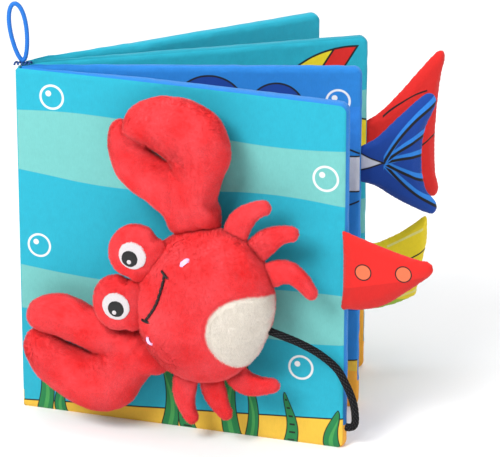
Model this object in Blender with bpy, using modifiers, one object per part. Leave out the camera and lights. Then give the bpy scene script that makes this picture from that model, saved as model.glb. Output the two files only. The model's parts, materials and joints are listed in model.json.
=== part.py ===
"""Crinkle cloth book: four padded leaves sewn at a cloth spine, with fish tails
on their fore edges, a hanging loop, and a plush crab on the front cover.

Metres, +Z up. The book stands on its lower edges, fanned open, with its front
cover towards -Y and its spine at the left. The origin is the middle of its foot.
"""

from math import atan2, cos, pi, radians, sin, sqrt

import bmesh
import bpy
from mathutils import Matrix, Vector

MM = 0.001

# Leaves: each is a cloth panel over a boxed cloth tray, with wadding and film inside.
LEAF_HEIGHT = 195 * MM
LEAF_CORNER = 4 * MM
LEAF_ROOT = 2.2 * MM
LEAF_PITCH = 4.2 * MM
LEAF_TAPER = 75 * MM
LEAF_CROWN = 0.8 * MM
LEAF_CLOTH = 0.7 * MM
FILM = 0.3 * MM
WADDING_MARGIN = 32 * MM
GAP = 0.3 * MM

COVER_THICKNESS = 8 * MM
PAGE_THICKNESS = 7 * MM
LEAF_WIDTHS = {
    "front_cover": 183.5 * MM,
    "leaf_2": 181 * MM,
    "leaf_3": 191 * MM,
    "back_cover": 181.5 * MM,
}
FAN_ANGLES = {
    "front_cover": radians(-18.5),
    "leaf_2": radians(-0.9),
    "leaf_3": radians(15.4),
    "back_cover": radians(30.7),
}

# Spine: a cloth band in two halves that meet at the crease, a seam and a loop.
SPINE_ANGLE = radians(75)
SPINE_CLOTH = 1 * MM
SPINE_FRONT_MARGIN = 2.6 * MM
SPINE_BACK_MARGIN = 1.1 * MM
CREASE_GAP = 0.4 * MM
SEAM_THREAD = 0.8 * MM
BARTACK_LENGTH = 9 * MM
BARTACK_WIDTH = 3 * MM
BARTACK_THICKNESS = 0.8 * MM
LOOP_CORD = 2.4 * MM
LOOP_HEIGHT = 34 * MM
LOOP_WIDTH = 11 * MM
LOOP_PINCH_SHARE = 0.2
LOOP_LEAN = radians(-7)
LOOP_POINTS = 28

# Fish tails: two cloths over a filling, in the seam of a leaf's fore edge.
TAIL_CLOTH = 0.4 * MM
TAIL_THICKNESS = 5.4 * MM
TAIL_EDGE = 1.1 * MM
TAIL_SEAM = 0.3 * MM
TAIL_ROOT_GAP = 0.8 * MM
TAIL_PINCH = 8 * MM
TAIL_FILLING_SHARE = 0.68

# Each tail's leaf, length, height and root height above the foot, and its outline
# in shares of the length and the height, from the root's lower corner round.
TAILS = {
    "orange_dot_tail": {
        "leaf": "front_cover",
        "length": 48 * MM,
        "height": 45.5 * MM,
        "foot": 79 * MM,
        "middle_shares": (0.42, 0.5),
        "outline_shares": (
            (0, 0), (0.22, 0.03), (0.46, 0.12), (0.7, 0.3), (0.9, 0.48), (0.99, 0.58),
            (1, 0.66), (0.95, 0.73), (0.82, 0.76), (0.6, 0.82), (0.3, 0.91), (0, 1),
        ),
    },
    "blue_tail": {
        "leaf": "leaf_2",
        "length": 41.5 * MM,
        "height": 71 * MM,
        "foot": 111 * MM,
        "middle_shares": (0.45, 0.44),
        "outline_shares": (
            (0, 0.26), (0.18, 0.22), (0.45, 0.12), (0.75, 0.03), (0.92, 0), (0.99, 0.04),
            (0.98, 0.1), (0.88, 0.22), (0.82, 0.42), (0.84, 0.65), (0.94, 0.88),
            (0.95, 0.95), (0.88, 1), (0.76, 0.98), (0.45, 0.81), (0.18, 0.65), (0, 0.58),
        ),
    },
    "red_tail": {
        "leaf": "leaf_3",
        "length": 45 * MM,
        "height": 88 * MM,
        "foot": 97 * MM,
        "middle_shares": (0.45, 0.43),
        "outline_shares": (
            (0, 0.26), (0.25, 0.19), (0.55, 0.09), (0.8, 0.01), (0.9, 0), (0.96, 0.05),
            (0.94, 0.2), (0.93, 0.4), (0.95, 0.62), (0.99, 0.85), (1, 0.95), (0.96, 0.99),
            (0.88, 0.98), (0.66, 0.85), (0.4, 0.68), (0.18, 0.58), (0, 0.54),
        ),
    },
    "yellow_tail": {
        "leaf": "leaf_3",
        "length": 38 * MM,
        "height": 54 * MM,
        "foot": 33 * MM,
        "middle_shares": (0.48, 0.47),
        "outline_shares": (
            (0, 0), (0.25, 0), (0.55, 0.04), (0.78, 0.1), (0.84, 0.16), (0.94, 0.5),
            (1, 0.72), (1, 0.94), (0.96, 1), (0.8, 0.95), (0.5, 0.85), (0.22, 0.78),
            (0, 0.76),
        ),
    },
}

# Crab: a stuffed body that hook and loop holds on the front cover.
CRAB_ALONG = 113.6 * MM
CRAB_UP = 81 * MM
CRAB_TURN = radians(72)
CRAB_SEAM_LIFT = 18 * MM
CRAB_HALF_WIDTH = 45 * MM
CRAB_HALF_HEIGHT = 38 * MM
CRAB_FRONT_DEPTH = 21 * MM
CRAB_SEAM_HALF = 0.9 * MM
CRAB_SEAM_GAP = 0.3 * MM
PLUSH = 1.4 * MM
STUFFING_SHARE = 0.93
BELLY_HALF_WIDTH = 22.5 * MM
BELLY_HALF_HEIGHT = 26 * MM
BELLY_DROP = 33 * MM
PATCH_RADIUS = 17 * MM
PATCH_THICKNESS = 1.2 * MM
PATCH_LIFT = LEAF_CROWN + GAP
CRAB_SIDES = 28

CLAW_LENGTH = 73 * MM
CLAW_FRONT = 11.5 * MM
CLAW_BACK = 10 * MM
CLAW_EDGE_HALF = 1 * MM
CLAW_PINCH = 30 * MM
CLAW_DROP = 3 * MM
CLAW_PLACES = {"upper": radians(32), "lower": radians(34)}
CLAW_LEANS = {"upper": 0, "lower": 0.3}
CLAW_MIDDLE_SHARES = (0.5, 0.02)
CLAW_OUTLINE_SHARES = (
    (0, -0.2), (0.13, -0.25), (0.27, -0.34), (0.41, -0.43), (0.55, -0.47), (0.7, -0.45),
    (0.83, -0.36), (0.93, -0.23), (0.99, -0.07), (0.99, 0.09), (0.95, 0.19), (0.9, 0.22),
    (0.76, 0.16), (0.55, 0.07), (0.72, 0.2), (0.83, 0.29), (0.82, 0.36), (0.75, 0.43),
    (0.64, 0.48), (0.5, 0.475), (0.37, 0.41), (0.23, 0.3), (0.11, 0.225), (0, 0.19),
)

EYE_REACH = 24.5 * MM
EYE_WIDTH = 30.5 * MM
EYE_NECK = 20 * MM
EYE_HALF = 4.5 * MM
EYE_EDGE_HALF = 0.8 * MM
EYE_PINCH = 9 * MM
EYE_LIFT = 9 * MM
EYE_PLACE = radians(72)
EYE_SEAT_SHARE = 0.93
EYE_WHITE_RADIUS = 7.6 * MM
PUPIL_RADIUS = 4.3 * MM
EYE_PATCH = 0.5 * MM
EYE_MIDDLE = 10.5 * MM

LEG_BASE = 13.4 * MM
LEG_HALF = 2.6 * MM
LEG_EDGE_HALF = 0.8 * MM
LEG_PINCH = 5 * MM
LEG_PLACES = (radians(-3), radians(-24.5), radians(-46))
LEG_REACHES = (23 * MM, 23.5 * MM, 17.5 * MM)
LEG_DROPS = (9.5 * MM, 8 * MM, 17 * MM)
LEG_OUTLINE_SHARES = (
    (0, -0.5), (0.3, -0.51), (0.65, -0.5), (0.87, -0.4), (0.98, -0.18), (0.98, 0.18),
    (0.87, 0.4), (0.65, 0.5), (0.3, 0.51), (0, 0.5),
)
LEG_BEND_POWER = 1.6

MOUTH_THREAD = 1.2 * MM
MOUTH_HALF_WIDTH = 17.5 * MM
MOUTH_HEIGHT = 25 * MM
MOUTH_SAG = 3.2 * MM
MOUTH_POINTS = 13
CHEEK_STITCH = 1.5 * MM
CHEEK_LENGTH = 4.2 * MM
CHEEK_ALONG = 27 * MM
CHEEK_UP = 19 * MM

# Tether: a cord from the crab's seam to the front cover's fore-edge seam. Its
# points are (along the cover, proud of it, up) from the foot of the cover's spine edge.
TETHER_DIAMETER = 4.2 * MM
TETHER_SPACING = 5.5 * MM
TETHER_ROUTE = (
    (150.3 * MM, 18 * MM, 69.6 * MM),
    (156.5 * MM, 17 * MM, 67.4 * MM),
    (164 * MM, 11.5 * MM, 62.2 * MM),
    (172.5 * MM, 6.3 * MM, 55.4 * MM),
    (181 * MM, 4 * MM, 47.6 * MM),
    (186 * MM, 2.8 * MM, 38.6 * MM),
    (189.3 * MM, 0.8 * MM, 28.6 * MM),
    (189.9 * MM, -1.8 * MM, 19.4 * MM),
    (189.1 * MM, -3.6 * MM, 13.4 * MM),
    (186.9 * MM, -4 * MM, 11.2 * MM),
    (183.9 * MM, -4 * MM, 11 * MM),
)

BODY_RINGS = (0.985, 0.93, 0.83, 0.67, 0.46, 0.22)
BACK_RINGS = (0.985, 0.92, 0.8, 0.62, 0.5)
CLAW_RINGS = (0.97, 0.88, 0.72, 0.48, 0.24)
TAIL_RINGS = (0.96, 0.8, 0.5)
FLAP_RINGS = (0.96, 0.84, 0.62)
EYE_RINGS = (0.95, 0.82, 0.62)
SHEET_ROWS = 4
SHEET_COLUMNS = 6
CORNER_STEPS = 3
SHARP_ANGLE = radians(40)

COLOURS = {
    "turquoise_print": (0.03, 0.6, 0.75),
    "blue_print": (0.01, 0.13, 0.6),
    "navy_print": (0.01, 0.05, 0.3),
    "red_print": (0.8, 0.02, 0.02),
    "yellow_print": (0.7, 0.55, 0.02),
    "red_plush": (0.9, 0.04, 0.04),
    "cream_plush": (0.86, 0.79, 0.68),
    "white_embroidery": (0.85, 0.83, 0.82),
    "black_thread": (0.01, 0.01, 0.012),
    "lilac_thread": (0.7, 0.5, 0.9),
    "blue_cord": (0.01, 0.2, 0.7),
    "wadding": (0.9, 0.9, 0.88),
    "crinkle_film": (0.75, 0.78, 0.8),
    "hook_tape": (0.85, 0.85, 0.85),
}


def material(name):
    """The finish of this name, made when it is first asked for."""
    found = bpy.data.materials.get(name)
    if found:
        return found
    made = bpy.data.materials.new(name)
    made.use_nodes = True
    shader = made.node_tree.nodes["Principled BSDF"]
    shader.inputs["Base Color"].default_value = (*COLOURS[name], 1)
    shader.inputs["Roughness"].default_value = 0.25 if name == "crinkle_film" else 0.85
    shader.inputs["Metallic"].default_value = 0
    made.diffuse_color = (*COLOURS[name], 1)
    return made


def empty(name, parent=None, location=(0, 0, 0), rotation=(0, 0, 0)):
    made = bpy.data.objects.new(name, None)
    made.parent = parent
    made.location = location
    made.rotation_euler = rotation
    BOOK.objects.link(made)
    return made


def solid(name, bm, parent, finish, location=(0, 0, 0)):
    """A named object from a bmesh, with its own copy of a finish."""
    mesh = bpy.data.meshes.new(name)
    bm.to_mesh(mesh)
    bm.free()
    mesh.shade_smooth()
    mesh.set_sharp_from_angle(angle=SHARP_ANGLE)
    made = bpy.data.objects.new(name, mesh)
    made.parent = parent
    made.location = location
    own = material(finish).copy()
    own.name = f"{name}_{finish}"
    mesh.materials.append(own)
    BOOK.objects.link(made)
    return made


def ease(share):
    """0 to 1 with level ends."""
    share = min(max(share, 0), 1)
    return share * share * (3 - 2 * share)


def new_ring(bm, outline, y):
    """A closed ring of edges through an outline's (x, z) points."""
    corners = [bm.verts.new((x, y, z)) for x, z in outline]
    return [bm.edges.new(pair) for pair in zip(corners, corners[1:] + corners[:1])]


def extrude_ring(bm, ring, place):
    """The next ring out of a closed ring, each of its corners put where place says."""
    grown = bmesh.ops.extrude_edge_only(bm, edges=ring)["geom"]
    corners = {part for part in grown if isinstance(part, bmesh.types.BMVert)}
    for corner in corners:
        corner.co = place(corner.co)
    edges = [part for part in grown if isinstance(part, bmesh.types.BMEdge)]
    return [edge for edge in edges if set(edge.verts) <= corners]


def dome(bm, ring, side, middle, edge_half, depth, rings, pinch=0):
    """One face of a sewn pad: a short wall at the seam, then rings that draw in
    to the middle and rise as a quarter ellipse, and a cap. Within the pinch of the
    root at x = 0 the pad thins down to its seam."""
    middle_x, middle_z = middle
    ring = extrude_ring(bm, ring, lambda co: Vector((co.x, side * edge_half, co.z)))
    full_rise = sqrt(1 - rings[-1] ** 2)
    last_scale = 1
    for scale in rings:
        drawn = scale / last_scale
        rise = sqrt(1 - scale**2) / full_rise

        def place(co):
            x = middle_x + (co.x - middle_x) * drawn
            z = middle_z + (co.z - middle_z) * drawn
            room = ease(x / pinch) if pinch else 1
            return Vector((x, side * (edge_half + (depth - edge_half) * rise * room), z))

        ring = extrude_ring(bm, ring, place)
        last_scale = scale
    return bmesh.ops.contextual_create(bm, geom=ring)["faces"]


def pad(outline, middle, edge_half, front, back, rings, pinch=0):
    """A closed stuffed pad with its seam in the plane y = 0."""
    bm = bmesh.new()
    ring = new_ring(bm, outline, 0)
    dome(bm, ring, -1, middle, edge_half, front, rings, pinch)
    dome(bm, ring, 1, middle, edge_half, back, rings, pinch)
    bmesh.ops.recalc_face_normals(bm, faces=bm.faces)
    return bm


def pad_cloth(name, parent, finish, outline, side, sizes, cloth):
    """One cloth of a pad: an open dome with a wall thickness inwards."""
    bm = bmesh.new()
    ring = new_ring(bm, outline, side * sizes["seam_gap"] / 2)
    rings, pinch = sizes["rings"], sizes["pinch"]
    cap = dome(bm, ring, side, sizes["middle"], sizes["edge"], sizes["depth"], rings, pinch)[0]
    bmesh.ops.recalc_face_normals(bm, faces=bm.faces)
    cap.normal_update()
    if cap.normal.y * side < 0:
        bmesh.ops.reverse_faces(bm, faces=bm.faces)
    made = solid(name, bm, parent, finish)
    thicken(made, cloth)
    return made


def thicken(obj, thickness):
    shell = obj.modifiers.new("cloth", "SOLIDIFY")
    shell.thickness = thickness
    shell.offset = -1
    shell.use_even_offset = True


def applied(obj):
    """Makes an object's modifiers part of its mesh."""
    seen = obj.evaluated_get(bpy.context.evaluated_depsgraph_get())
    finished = bpy.data.meshes.new_from_object(seen)
    obj.modifiers.clear()
    obj.data = finished
    return obj


def boolean(obj, cutter, operation):
    cut = obj.modifiers.new(operation.lower(), "BOOLEAN")
    cut.operation = operation
    cut.object = cutter
    cut.solver = "EXACT"


def ellipse(half_width, half_height, count):
    turns = [2 * pi * step / count for step in range(count)]
    return [(half_width * cos(turn), half_height * sin(turn)) for turn in turns]


def smooth_route(points, spacing):
    """Points about a spacing apart along a Catmull-Rom curve through a route."""
    knots = [Vector(point) for point in points]
    knots = [2 * knots[0] - knots[1], *knots, 2 * knots[-1] - knots[-2]]
    route = []
    for before, start, end, after in zip(knots, knots[1:], knots[2:], knots[3:]):
        steps = max(1, round((end - start).length / spacing))
        for step in range(steps):
            t = step / steps
            route.append(
                start
                + (end - before) * (t / 2)
                + (2 * before - 5 * start + 4 * end - after) * (t * t / 2)
                + (3 * start - before - 3 * end + after) * (t**3 / 2)
            )
    return [*route, knots[-2]]


def cord(name, parent, finish, points, diameter, cyclic=False, location=(0, 0, 0)):
    """A round cord along points, as a bevelled curve."""
    curve = bpy.data.curves.new(name, "CURVE")
    curve.dimensions = "3D"
    curve.bevel_depth = diameter / 2
    curve.bevel_resolution = 2
    curve.use_fill_caps = not cyclic
    spline = curve.splines.new("POLY")
    spline.points.add(len(points) - 1)
    for knot, point in zip(spline.points, points):
        knot.co = (*point, 1)
    spline.use_cyclic_u = cyclic
    made = bpy.data.objects.new(name, curve)
    made.parent = parent
    made.location = location
    own = material(finish).copy()
    own.name = f"{name}_{finish}"
    curve.materials.append(own)
    BOOK.objects.link(made)
    return made


class Leaf:
    """Sizes and places of one leaf in its own frame: x runs from the root to the
    fore edge, y through the thickness from front to back, and z up."""

    def __init__(self, name, thickness, front_share):
        self.name = name
        self.width = LEAF_WIDTHS[name]
        self.swell_front = (thickness - LEAF_ROOT) * front_share
        self.swell_back = (thickness - LEAF_ROOT) * (1 - front_share)

    def crown(self, x, z):
        along = 4 * (x / self.width) * (1 - x / self.width)
        return LEAF_CROWN * along * (1 - (2 * z / LEAF_HEIGHT - 1) ** 2)

    def front(self, x, z):
        swell = self.swell_front * ease(x / LEAF_TAPER)
        return -LEAF_ROOT / 2 - swell - self.crown(x, z)

    def back(self, x, z):
        swell = self.swell_back * ease(x / LEAF_TAPER)
        return LEAF_ROOT / 2 + swell + self.crown(x, z)

    def sheet(self, surface, start, inset):
        """A grid whose columns follow the rounded fore corners, laid on a surface."""
        bm = bmesh.new()
        end = self.width - inset
        corner = LEAF_CORNER - inset
        last = end - corner
        columns = [start + (last - start) * step / SHEET_COLUMNS for step in range(SHEET_COLUMNS)]
        turns = [pi / 2 * step / CORNER_STEPS for step in range(CORNER_STEPS + 1)]
        columns += [last + corner * sin(turn) for turn in turns]
        drops = [0] * SHEET_COLUMNS + [corner * (1 - cos(turn)) for turn in turns]
        half = LEAF_HEIGHT / 2 - inset
        bmesh.ops.create_grid(
            bm, x_segments=len(columns) - 1, y_segments=SHEET_ROWS, size=0.5
        )
        for vert in bm.verts:
            column = round((vert.co.x + 0.5) * (len(columns) - 1))
            reach = 2 * vert.co.y * (half - drops[column])
            x, z = columns[column], LEAF_HEIGHT / 2 + reach
            vert.co = (x, surface(x, z), z)
        return bm

    def slab(self, name, parent, finish, start, inset, front, back):
        """A closed layer between two surfaces."""
        bm = self.sheet(back, start, inset)
        grown = bmesh.ops.extrude_face_region(bm, geom=bm.faces[:])["geom"]
        for part in grown:
            if isinstance(part, bmesh.types.BMVert):
                part.co.y = front(part.co.x, part.co.z)
        bmesh.ops.recalc_face_normals(bm, faces=bm.faces)
        return solid(name, bm, parent, finish)

    def tray(self, name, parent, finish, wall_top, surface, side):
        """The cloth of one face with the boxed edge that it turns over."""
        bm = self.sheet(surface, 0, 0)
        rim = [edge for edge in bm.edges if edge.is_boundary]
        extrude_ring(bm, rim, lambda co: Vector((co.x, wall_top(co.x, co.z), co.z)))
        bmesh.ops.recalc_face_normals(bm, faces=bm.faces)
        flat = max(bm.faces, key=lambda face: face.calc_area())
        if flat.normal.y * side < 0:
            bmesh.ops.reverse_faces(bm, faces=bm.faces)
        made = solid(name, bm, parent, finish)
        thicken(made, LEAF_CLOTH)
        return made


def build_leaf(leaf, frame, front_finish, back_finish, tray_side):
    """A leaf's four layers. Its tray lies on tray_side (-1 front, 1 back)."""
    name = leaf.name
    step = LEAF_CLOTH + GAP
    start = WADDING_MARGIN

    if tray_side > 0:
        leaf.slab(
            f"{name}_front_cloth", frame, front_finish, 0, 0,
            leaf.front, lambda x, z: leaf.front(x, z) + LEAF_CLOTH,
        )
        leaf.tray(
            f"{name}_back_cloth", frame, back_finish,
            lambda x, z: leaf.front(x, z) + step, leaf.back, 1,
        )
    else:
        leaf.tray(
            f"{name}_front_cloth", frame, front_finish,
            lambda x, z: leaf.back(x, z) - step, leaf.front, -1,
        )
        leaf.slab(
            f"{name}_back_cloth", frame, back_finish, 0, 0,
            lambda x, z: leaf.back(x, z) - LEAF_CLOTH, leaf.back,
        )
    leaf.slab(
        f"{name}_crinkle_film", frame, "crinkle_film", start, step,
        lambda x, z: leaf.front(x, z) + step,
        lambda x, z: leaf.front(x, z) + step + FILM,
    )
    leaf.slab(
        f"{name}_wadding", frame, "wadding", start, step,
        lambda x, z: leaf.front(x, z) + step + FILM + GAP,
        lambda x, z: leaf.back(x, z) - step,
    )


def spine_point(across, along):
    """A plan point from the foot of the front cover's spine edge: along the spine's
    outer face, and across it into the book."""
    inward = SPINE_ANGLE - pi / 2
    x = across * cos(inward) + along * cos(SPINE_ANGLE)
    y = across * sin(inward) + along * sin(SPINE_ANGLE)
    return Vector((x, y, 0))


def spine_sizes():
    """Where the four roots, the crease and the outer hinges lie along the spine."""
    first = LEAF_ROOT / 2
    second = first + LEAF_PITCH
    third = second + LEAF_PITCH
    fourth = third + LEAF_PITCH
    return {
        "leaf_2": second,
        "leaf_3": third,
        "crease": (second + third) / 2,
        "end": fourth + LEAF_ROOT / 2,
    }


def page_root(name, along):
    """A page's root, clear of the spine cloth's inner face."""
    lean = FAN_ANGLES[name] - (SPINE_ANGLE - pi / 2)
    return spine_point(SPINE_CLOTH + GAP + LEAF_ROOT / 2 * abs(sin(lean)), along)


def cover_root(name, hinge, side):
    """A cover's root: its outer face passes through its hinge (side -1 front, 1 back)."""
    angle = FAN_ANGLES[name]
    along = Vector((cos(angle), sin(angle), 0))
    through = Vector((-sin(angle), cos(angle), 0))
    return hinge + along * GAP - through * (side * LEAF_ROOT / 2)


def build_spine(root, hinges, places):
    """The spine's two cloths, its seam and the stitched bar under the loop."""
    crease, end = places["crease"], places["end"]
    halves = {
        "spine_cloth_front": ("leaf_2", SPINE_FRONT_MARGIN, crease - CREASE_GAP / 2),
        "spine_cloth_back": ("leaf_3", crease + CREASE_GAP / 2, end - SPINE_BACK_MARGIN),
    }
    turn = Matrix.Rotation(SPINE_ANGLE, 4, "Z")
    for name, (leaf, start, stop) in halves.items():
        bm = bmesh.new()
        bmesh.ops.create_cube(bm, size=1)
        size = (stop - start, SPINE_CLOTH, LEAF_HEIGHT)
        bmesh.ops.scale(bm, vec=size, verts=bm.verts)
        bmesh.ops.transform(bm, matrix=turn, verts=bm.verts)
        middle = spine_point(SPINE_CLOTH / 2, (start + stop) / 2)
        middle.z = LEAF_HEIGHT / 2
        solid(name, bm, hinges[leaf], "turquoise_print", middle - hinges[leaf].location)

    seam = spine_point(SPINE_CLOTH + GAP + SEAM_THREAD / 2, crease)
    ends = (seam + Vector((0, 0, SEAM_THREAD)), seam + Vector((0, 0, LEAF_HEIGHT)))
    cord("spine_seam", root, "blue_cord", ends, SEAM_THREAD)

    bm = bmesh.new()
    bmesh.ops.create_cube(bm, size=1)
    size = (BARTACK_LENGTH, BARTACK_WIDTH, BARTACK_THICKNESS)
    bmesh.ops.scale(bm, vec=size, verts=bm.verts)
    middle = seam + Vector((0, 0, LEAF_HEIGHT + GAP + BARTACK_THICKNESS / 2))
    solid("loop_bartack", bm, root, "blue_cord", middle)
    return middle


def build_loop(root, bartack):
    """The hanging loop: one long closed bow of cord on the bar at the spine's top."""
    lift = BARTACK_THICKNESS / 2 + GAP + LOOP_CORD / 2
    hinge = empty("hinge_hanging_loop", root, bartack + Vector((0, 0, lift)))
    bow = []
    for step in range(LOOP_POINTS):
        turn = 2 * pi * step / LOOP_POINTS
        across = (LOOP_WIDTH - LOOP_CORD) / 2 * sin(turn) * (1 - LOOP_PINCH_SHARE * cos(turn))
        up = (LOOP_HEIGHT - LOOP_CORD) * (1 - cos(turn)) / 2
        bow.append(Matrix.Rotation(LOOP_LEAN, 3, "Y") @ Vector((across, 0, up)))
    cord("hanging_loop", hinge, "blue_cord", bow, LOOP_CORD, cyclic=True)


def build_tail(name, sizes, leaf, frame, finish, proud):
    """A fish tail: a hinge in the fore edge's seam, two cloths and a filling."""
    length, height = sizes["length"], sizes["height"]
    place = (leaf.width + TAIL_ROOT_GAP, proud, sizes["foot"])
    hinge = empty(f"hinge_{name}", frame, place)
    outline = [(length * x, height * z) for x, z in sizes["outline_shares"]]
    middle_x, middle_z = sizes["middle_shares"]
    middle = (length * middle_x, height * middle_z)
    shape = {
        "middle": middle,
        "edge": TAIL_EDGE / 2,
        "depth": TAIL_THICKNESS / 2,
        "seam_gap": TAIL_SEAM,
        "rings": TAIL_RINGS,
        "pinch": TAIL_PINCH,
    }
    pad_cloth(f"{name}_front_cloth", hinge, finish, outline, -1, shape, TAIL_CLOTH)
    pad_cloth(f"{name}_back_cloth", hinge, finish, outline, 1, shape, TAIL_CLOTH)
    inner = [
        (middle[0] + (x - middle[0]) * TAIL_FILLING_SHARE,
         middle[1] + (z - middle[1]) * TAIL_FILLING_SHARE)
        for x, z in outline
    ]
    depth = TAIL_THICKNESS / 2 - TAIL_CLOTH - GAP
    bm = pad(inner, middle, TAIL_SEAM / 2, depth, depth, TAIL_RINGS, TAIL_PINCH)
    solid(f"{name}_filling", bm, hinge, "wadding")


def crab_seat(place, seat_share=1):
    """A point of the crab's seam, and the angle at which the seam faces out there."""
    x = CRAB_HALF_WIDTH * cos(place) * seat_share
    z = CRAB_HALF_HEIGHT * sin(place) * seat_share
    outward = atan2(z / CRAB_HALF_HEIGHT**2, x / CRAB_HALF_WIDTH**2)
    return x, z, outward


def crab_front(x, z):
    """How far the front of the crab's body stands before its seam."""
    ring = sqrt((x / CRAB_HALF_WIDTH) ** 2 + (z / CRAB_HALF_HEIGHT) ** 2)
    rise = min(1, sqrt(max(0, 1 - ring**2)) / sqrt(1 - BODY_RINGS[-1] ** 2))
    return CRAB_SEAM_HALF + (CRAB_FRONT_DEPTH - CRAB_SEAM_HALF) * rise


def flap_hinge(name, crab, place, side, lift=0, front_edge=0, seat_share=1):
    """A hinge on the crab's seam. Its x points out, its y to the back and its z
    along the seam; side -1 mirrors the place to the lower half."""
    x, z, outward = crab_seat(place, seat_share)
    if side < 0:
        x, outward = -x, pi - outward
    reach = GAP
    location = (
        x + reach * cos(outward),
        -lift - front_edge,
        z + reach * sin(outward),
    )
    return empty(f"hinge_{name}", crab, location, (0, -outward, 0))


def build_claw(crab, name, place, side):
    """A stuffed claw: a palm and two pincers that meet at a slit. It leans towards the
    eyes by its lean's share of the way out."""
    hinge = flap_hinge(f"{name}_claw", crab, place, side, -CLAW_DROP, CLAW_EDGE_HALF)
    shares = [(x, side * (z + CLAW_LEANS[name] * x)) for x, z in (*CLAW_OUTLINE_SHARES, CLAW_MIDDLE_SHARES)]
    *outline, middle = [(CLAW_LENGTH * x, CLAW_LENGTH * z) for x, z in shares]
    bm = pad(outline, middle, CLAW_EDGE_HALF, CLAW_FRONT, CLAW_BACK, CLAW_RINGS, CLAW_PINCH)
    solid(f"{name}_claw", bm, hinge, "red_plush", (0, CLAW_EDGE_HALF, 0))


def disc(radius, thickness, count=20):
    """A flat round patch that faces along y."""
    bm = bmesh.new()
    bmesh.ops.create_cone(
        bm, cap_ends=True, segments=count, radius1=radius, radius2=radius,
        depth=thickness, matrix=Matrix.Rotation(pi / 2, 4, "X"),
    )
    return bm


def build_eye(crab, name, side):
    """An eye flap with its embroidered white and pupil."""
    hinge = flap_hinge(
        f"{name}_eye", crab, EYE_PLACE, side, EYE_LIFT, EYE_EDGE_HALF, EYE_SEAT_SHARE
    )
    neck, half = EYE_NECK / 2, EYE_WIDTH / 2
    bow = EYE_REACH - EYE_MIDDLE
    turns = [pi / 2 * step / 5 for step in range(-5, 6)]
    rim = [(EYE_MIDDLE + bow * cos(turn), half * sin(turn)) for turn in turns]
    outline = [(0, -neck), (EYE_MIDDLE / 2, -(neck + half) / 2), *rim]
    outline += [(EYE_MIDDLE / 2, (neck + half) / 2), (0, neck)]
    middle = (EYE_MIDDLE, 0)
    bm = pad(outline, middle, EYE_EDGE_HALF, EYE_HALF, EYE_HALF, EYE_RINGS, EYE_PINCH)
    solid(f"{name}_eye_flap", bm, hinge, "red_plush", (0, EYE_EDGE_HALF, 0))
    white = EYE_EDGE_HALF - EYE_HALF - GAP - EYE_PATCH / 2
    place = EYE_MIDDLE + GAP
    solid(
        f"{name}_eye_white", disc(EYE_WHITE_RADIUS, EYE_PATCH), hinge,
        "white_embroidery", (place, white, 0),
    )
    solid(
        f"{name}_eye_pupil", disc(PUPIL_RADIUS, EYE_PATCH), hinge,
        "black_thread", (place, white - EYE_PATCH - GAP, 0),
    )


def build_leg(crab, name, number, side):
    """A flat stuffed leg that bends towards the crab's belly end."""
    hinge = flap_hinge(name, crab, LEG_PLACES[number], side, 0, LEG_EDGE_HALF)
    reach, drop = LEG_REACHES[number], LEG_DROPS[number]

    def bent(x, z):
        return (reach * x, side * (LEG_BASE * z - drop * x**LEG_BEND_POWER))

    outline = [bent(x, z) for x, z in LEG_OUTLINE_SHARES]
    middle = bent(1 / 2, 0)
    bm = pad(outline, middle, LEG_EDGE_HALF, LEG_HALF, LEG_HALF, FLAP_RINGS, LEG_PINCH)
    solid(name, bm, hinge, "red_plush", (0, LEG_EDGE_HALF, 0))


def build_crab_body(crab, back_depth):
    """Two plush panels, the belly patch let into the front one, and the stuffing."""
    outline = ellipse(CRAB_HALF_WIDTH, CRAB_HALF_HEIGHT, CRAB_SIDES)
    shape = {
        "middle": (0, 0),
        "edge": CRAB_SEAM_HALF,
        "depth": CRAB_FRONT_DEPTH,
        "seam_gap": CRAB_SEAM_GAP,
        "rings": BODY_RINGS,
        "pinch": 0,
    }
    panel = pad_cloth("crab_front_panel", crab, "red_plush", outline, -1, shape, PLUSH)
    belly = pad_cloth("crab_belly_patch", crab, "cream_plush", outline, -1, shape, PLUSH)
    applied(panel)
    applied(belly)
    window = belly_cutter("belly_window", crab, GAP)
    inlay = belly_cutter("belly_inlay", crab, 0)
    boolean(panel, window, "DIFFERENCE")
    boolean(belly, inlay, "INTERSECT")

    shape["depth"] = back_depth
    shape["rings"] = BACK_RINGS
    pad_cloth("crab_back_panel", crab, "red_plush", outline, 1, shape, PLUSH)

    half_width = CRAB_HALF_WIDTH * STUFFING_SHARE
    half_height = CRAB_HALF_HEIGHT * STUFFING_SHARE
    inner = ellipse(half_width, half_height, CRAB_SIDES)
    bm = bmesh.new()
    ring = new_ring(bm, inner, 0)
    front = CRAB_FRONT_DEPTH - PLUSH - 2 * GAP
    back = back_depth - PLUSH - 2 * GAP
    dome(bm, ring, -1, (0, 0), CRAB_SEAM_GAP, front, BODY_RINGS)
    dome(bm, ring, 1, (0, 0), CRAB_SEAM_GAP, back, BACK_RINGS)
    bmesh.ops.recalc_face_normals(bm, faces=bm.faces)
    solid("crab_stuffing", bm, crab, "wadding")


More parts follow.
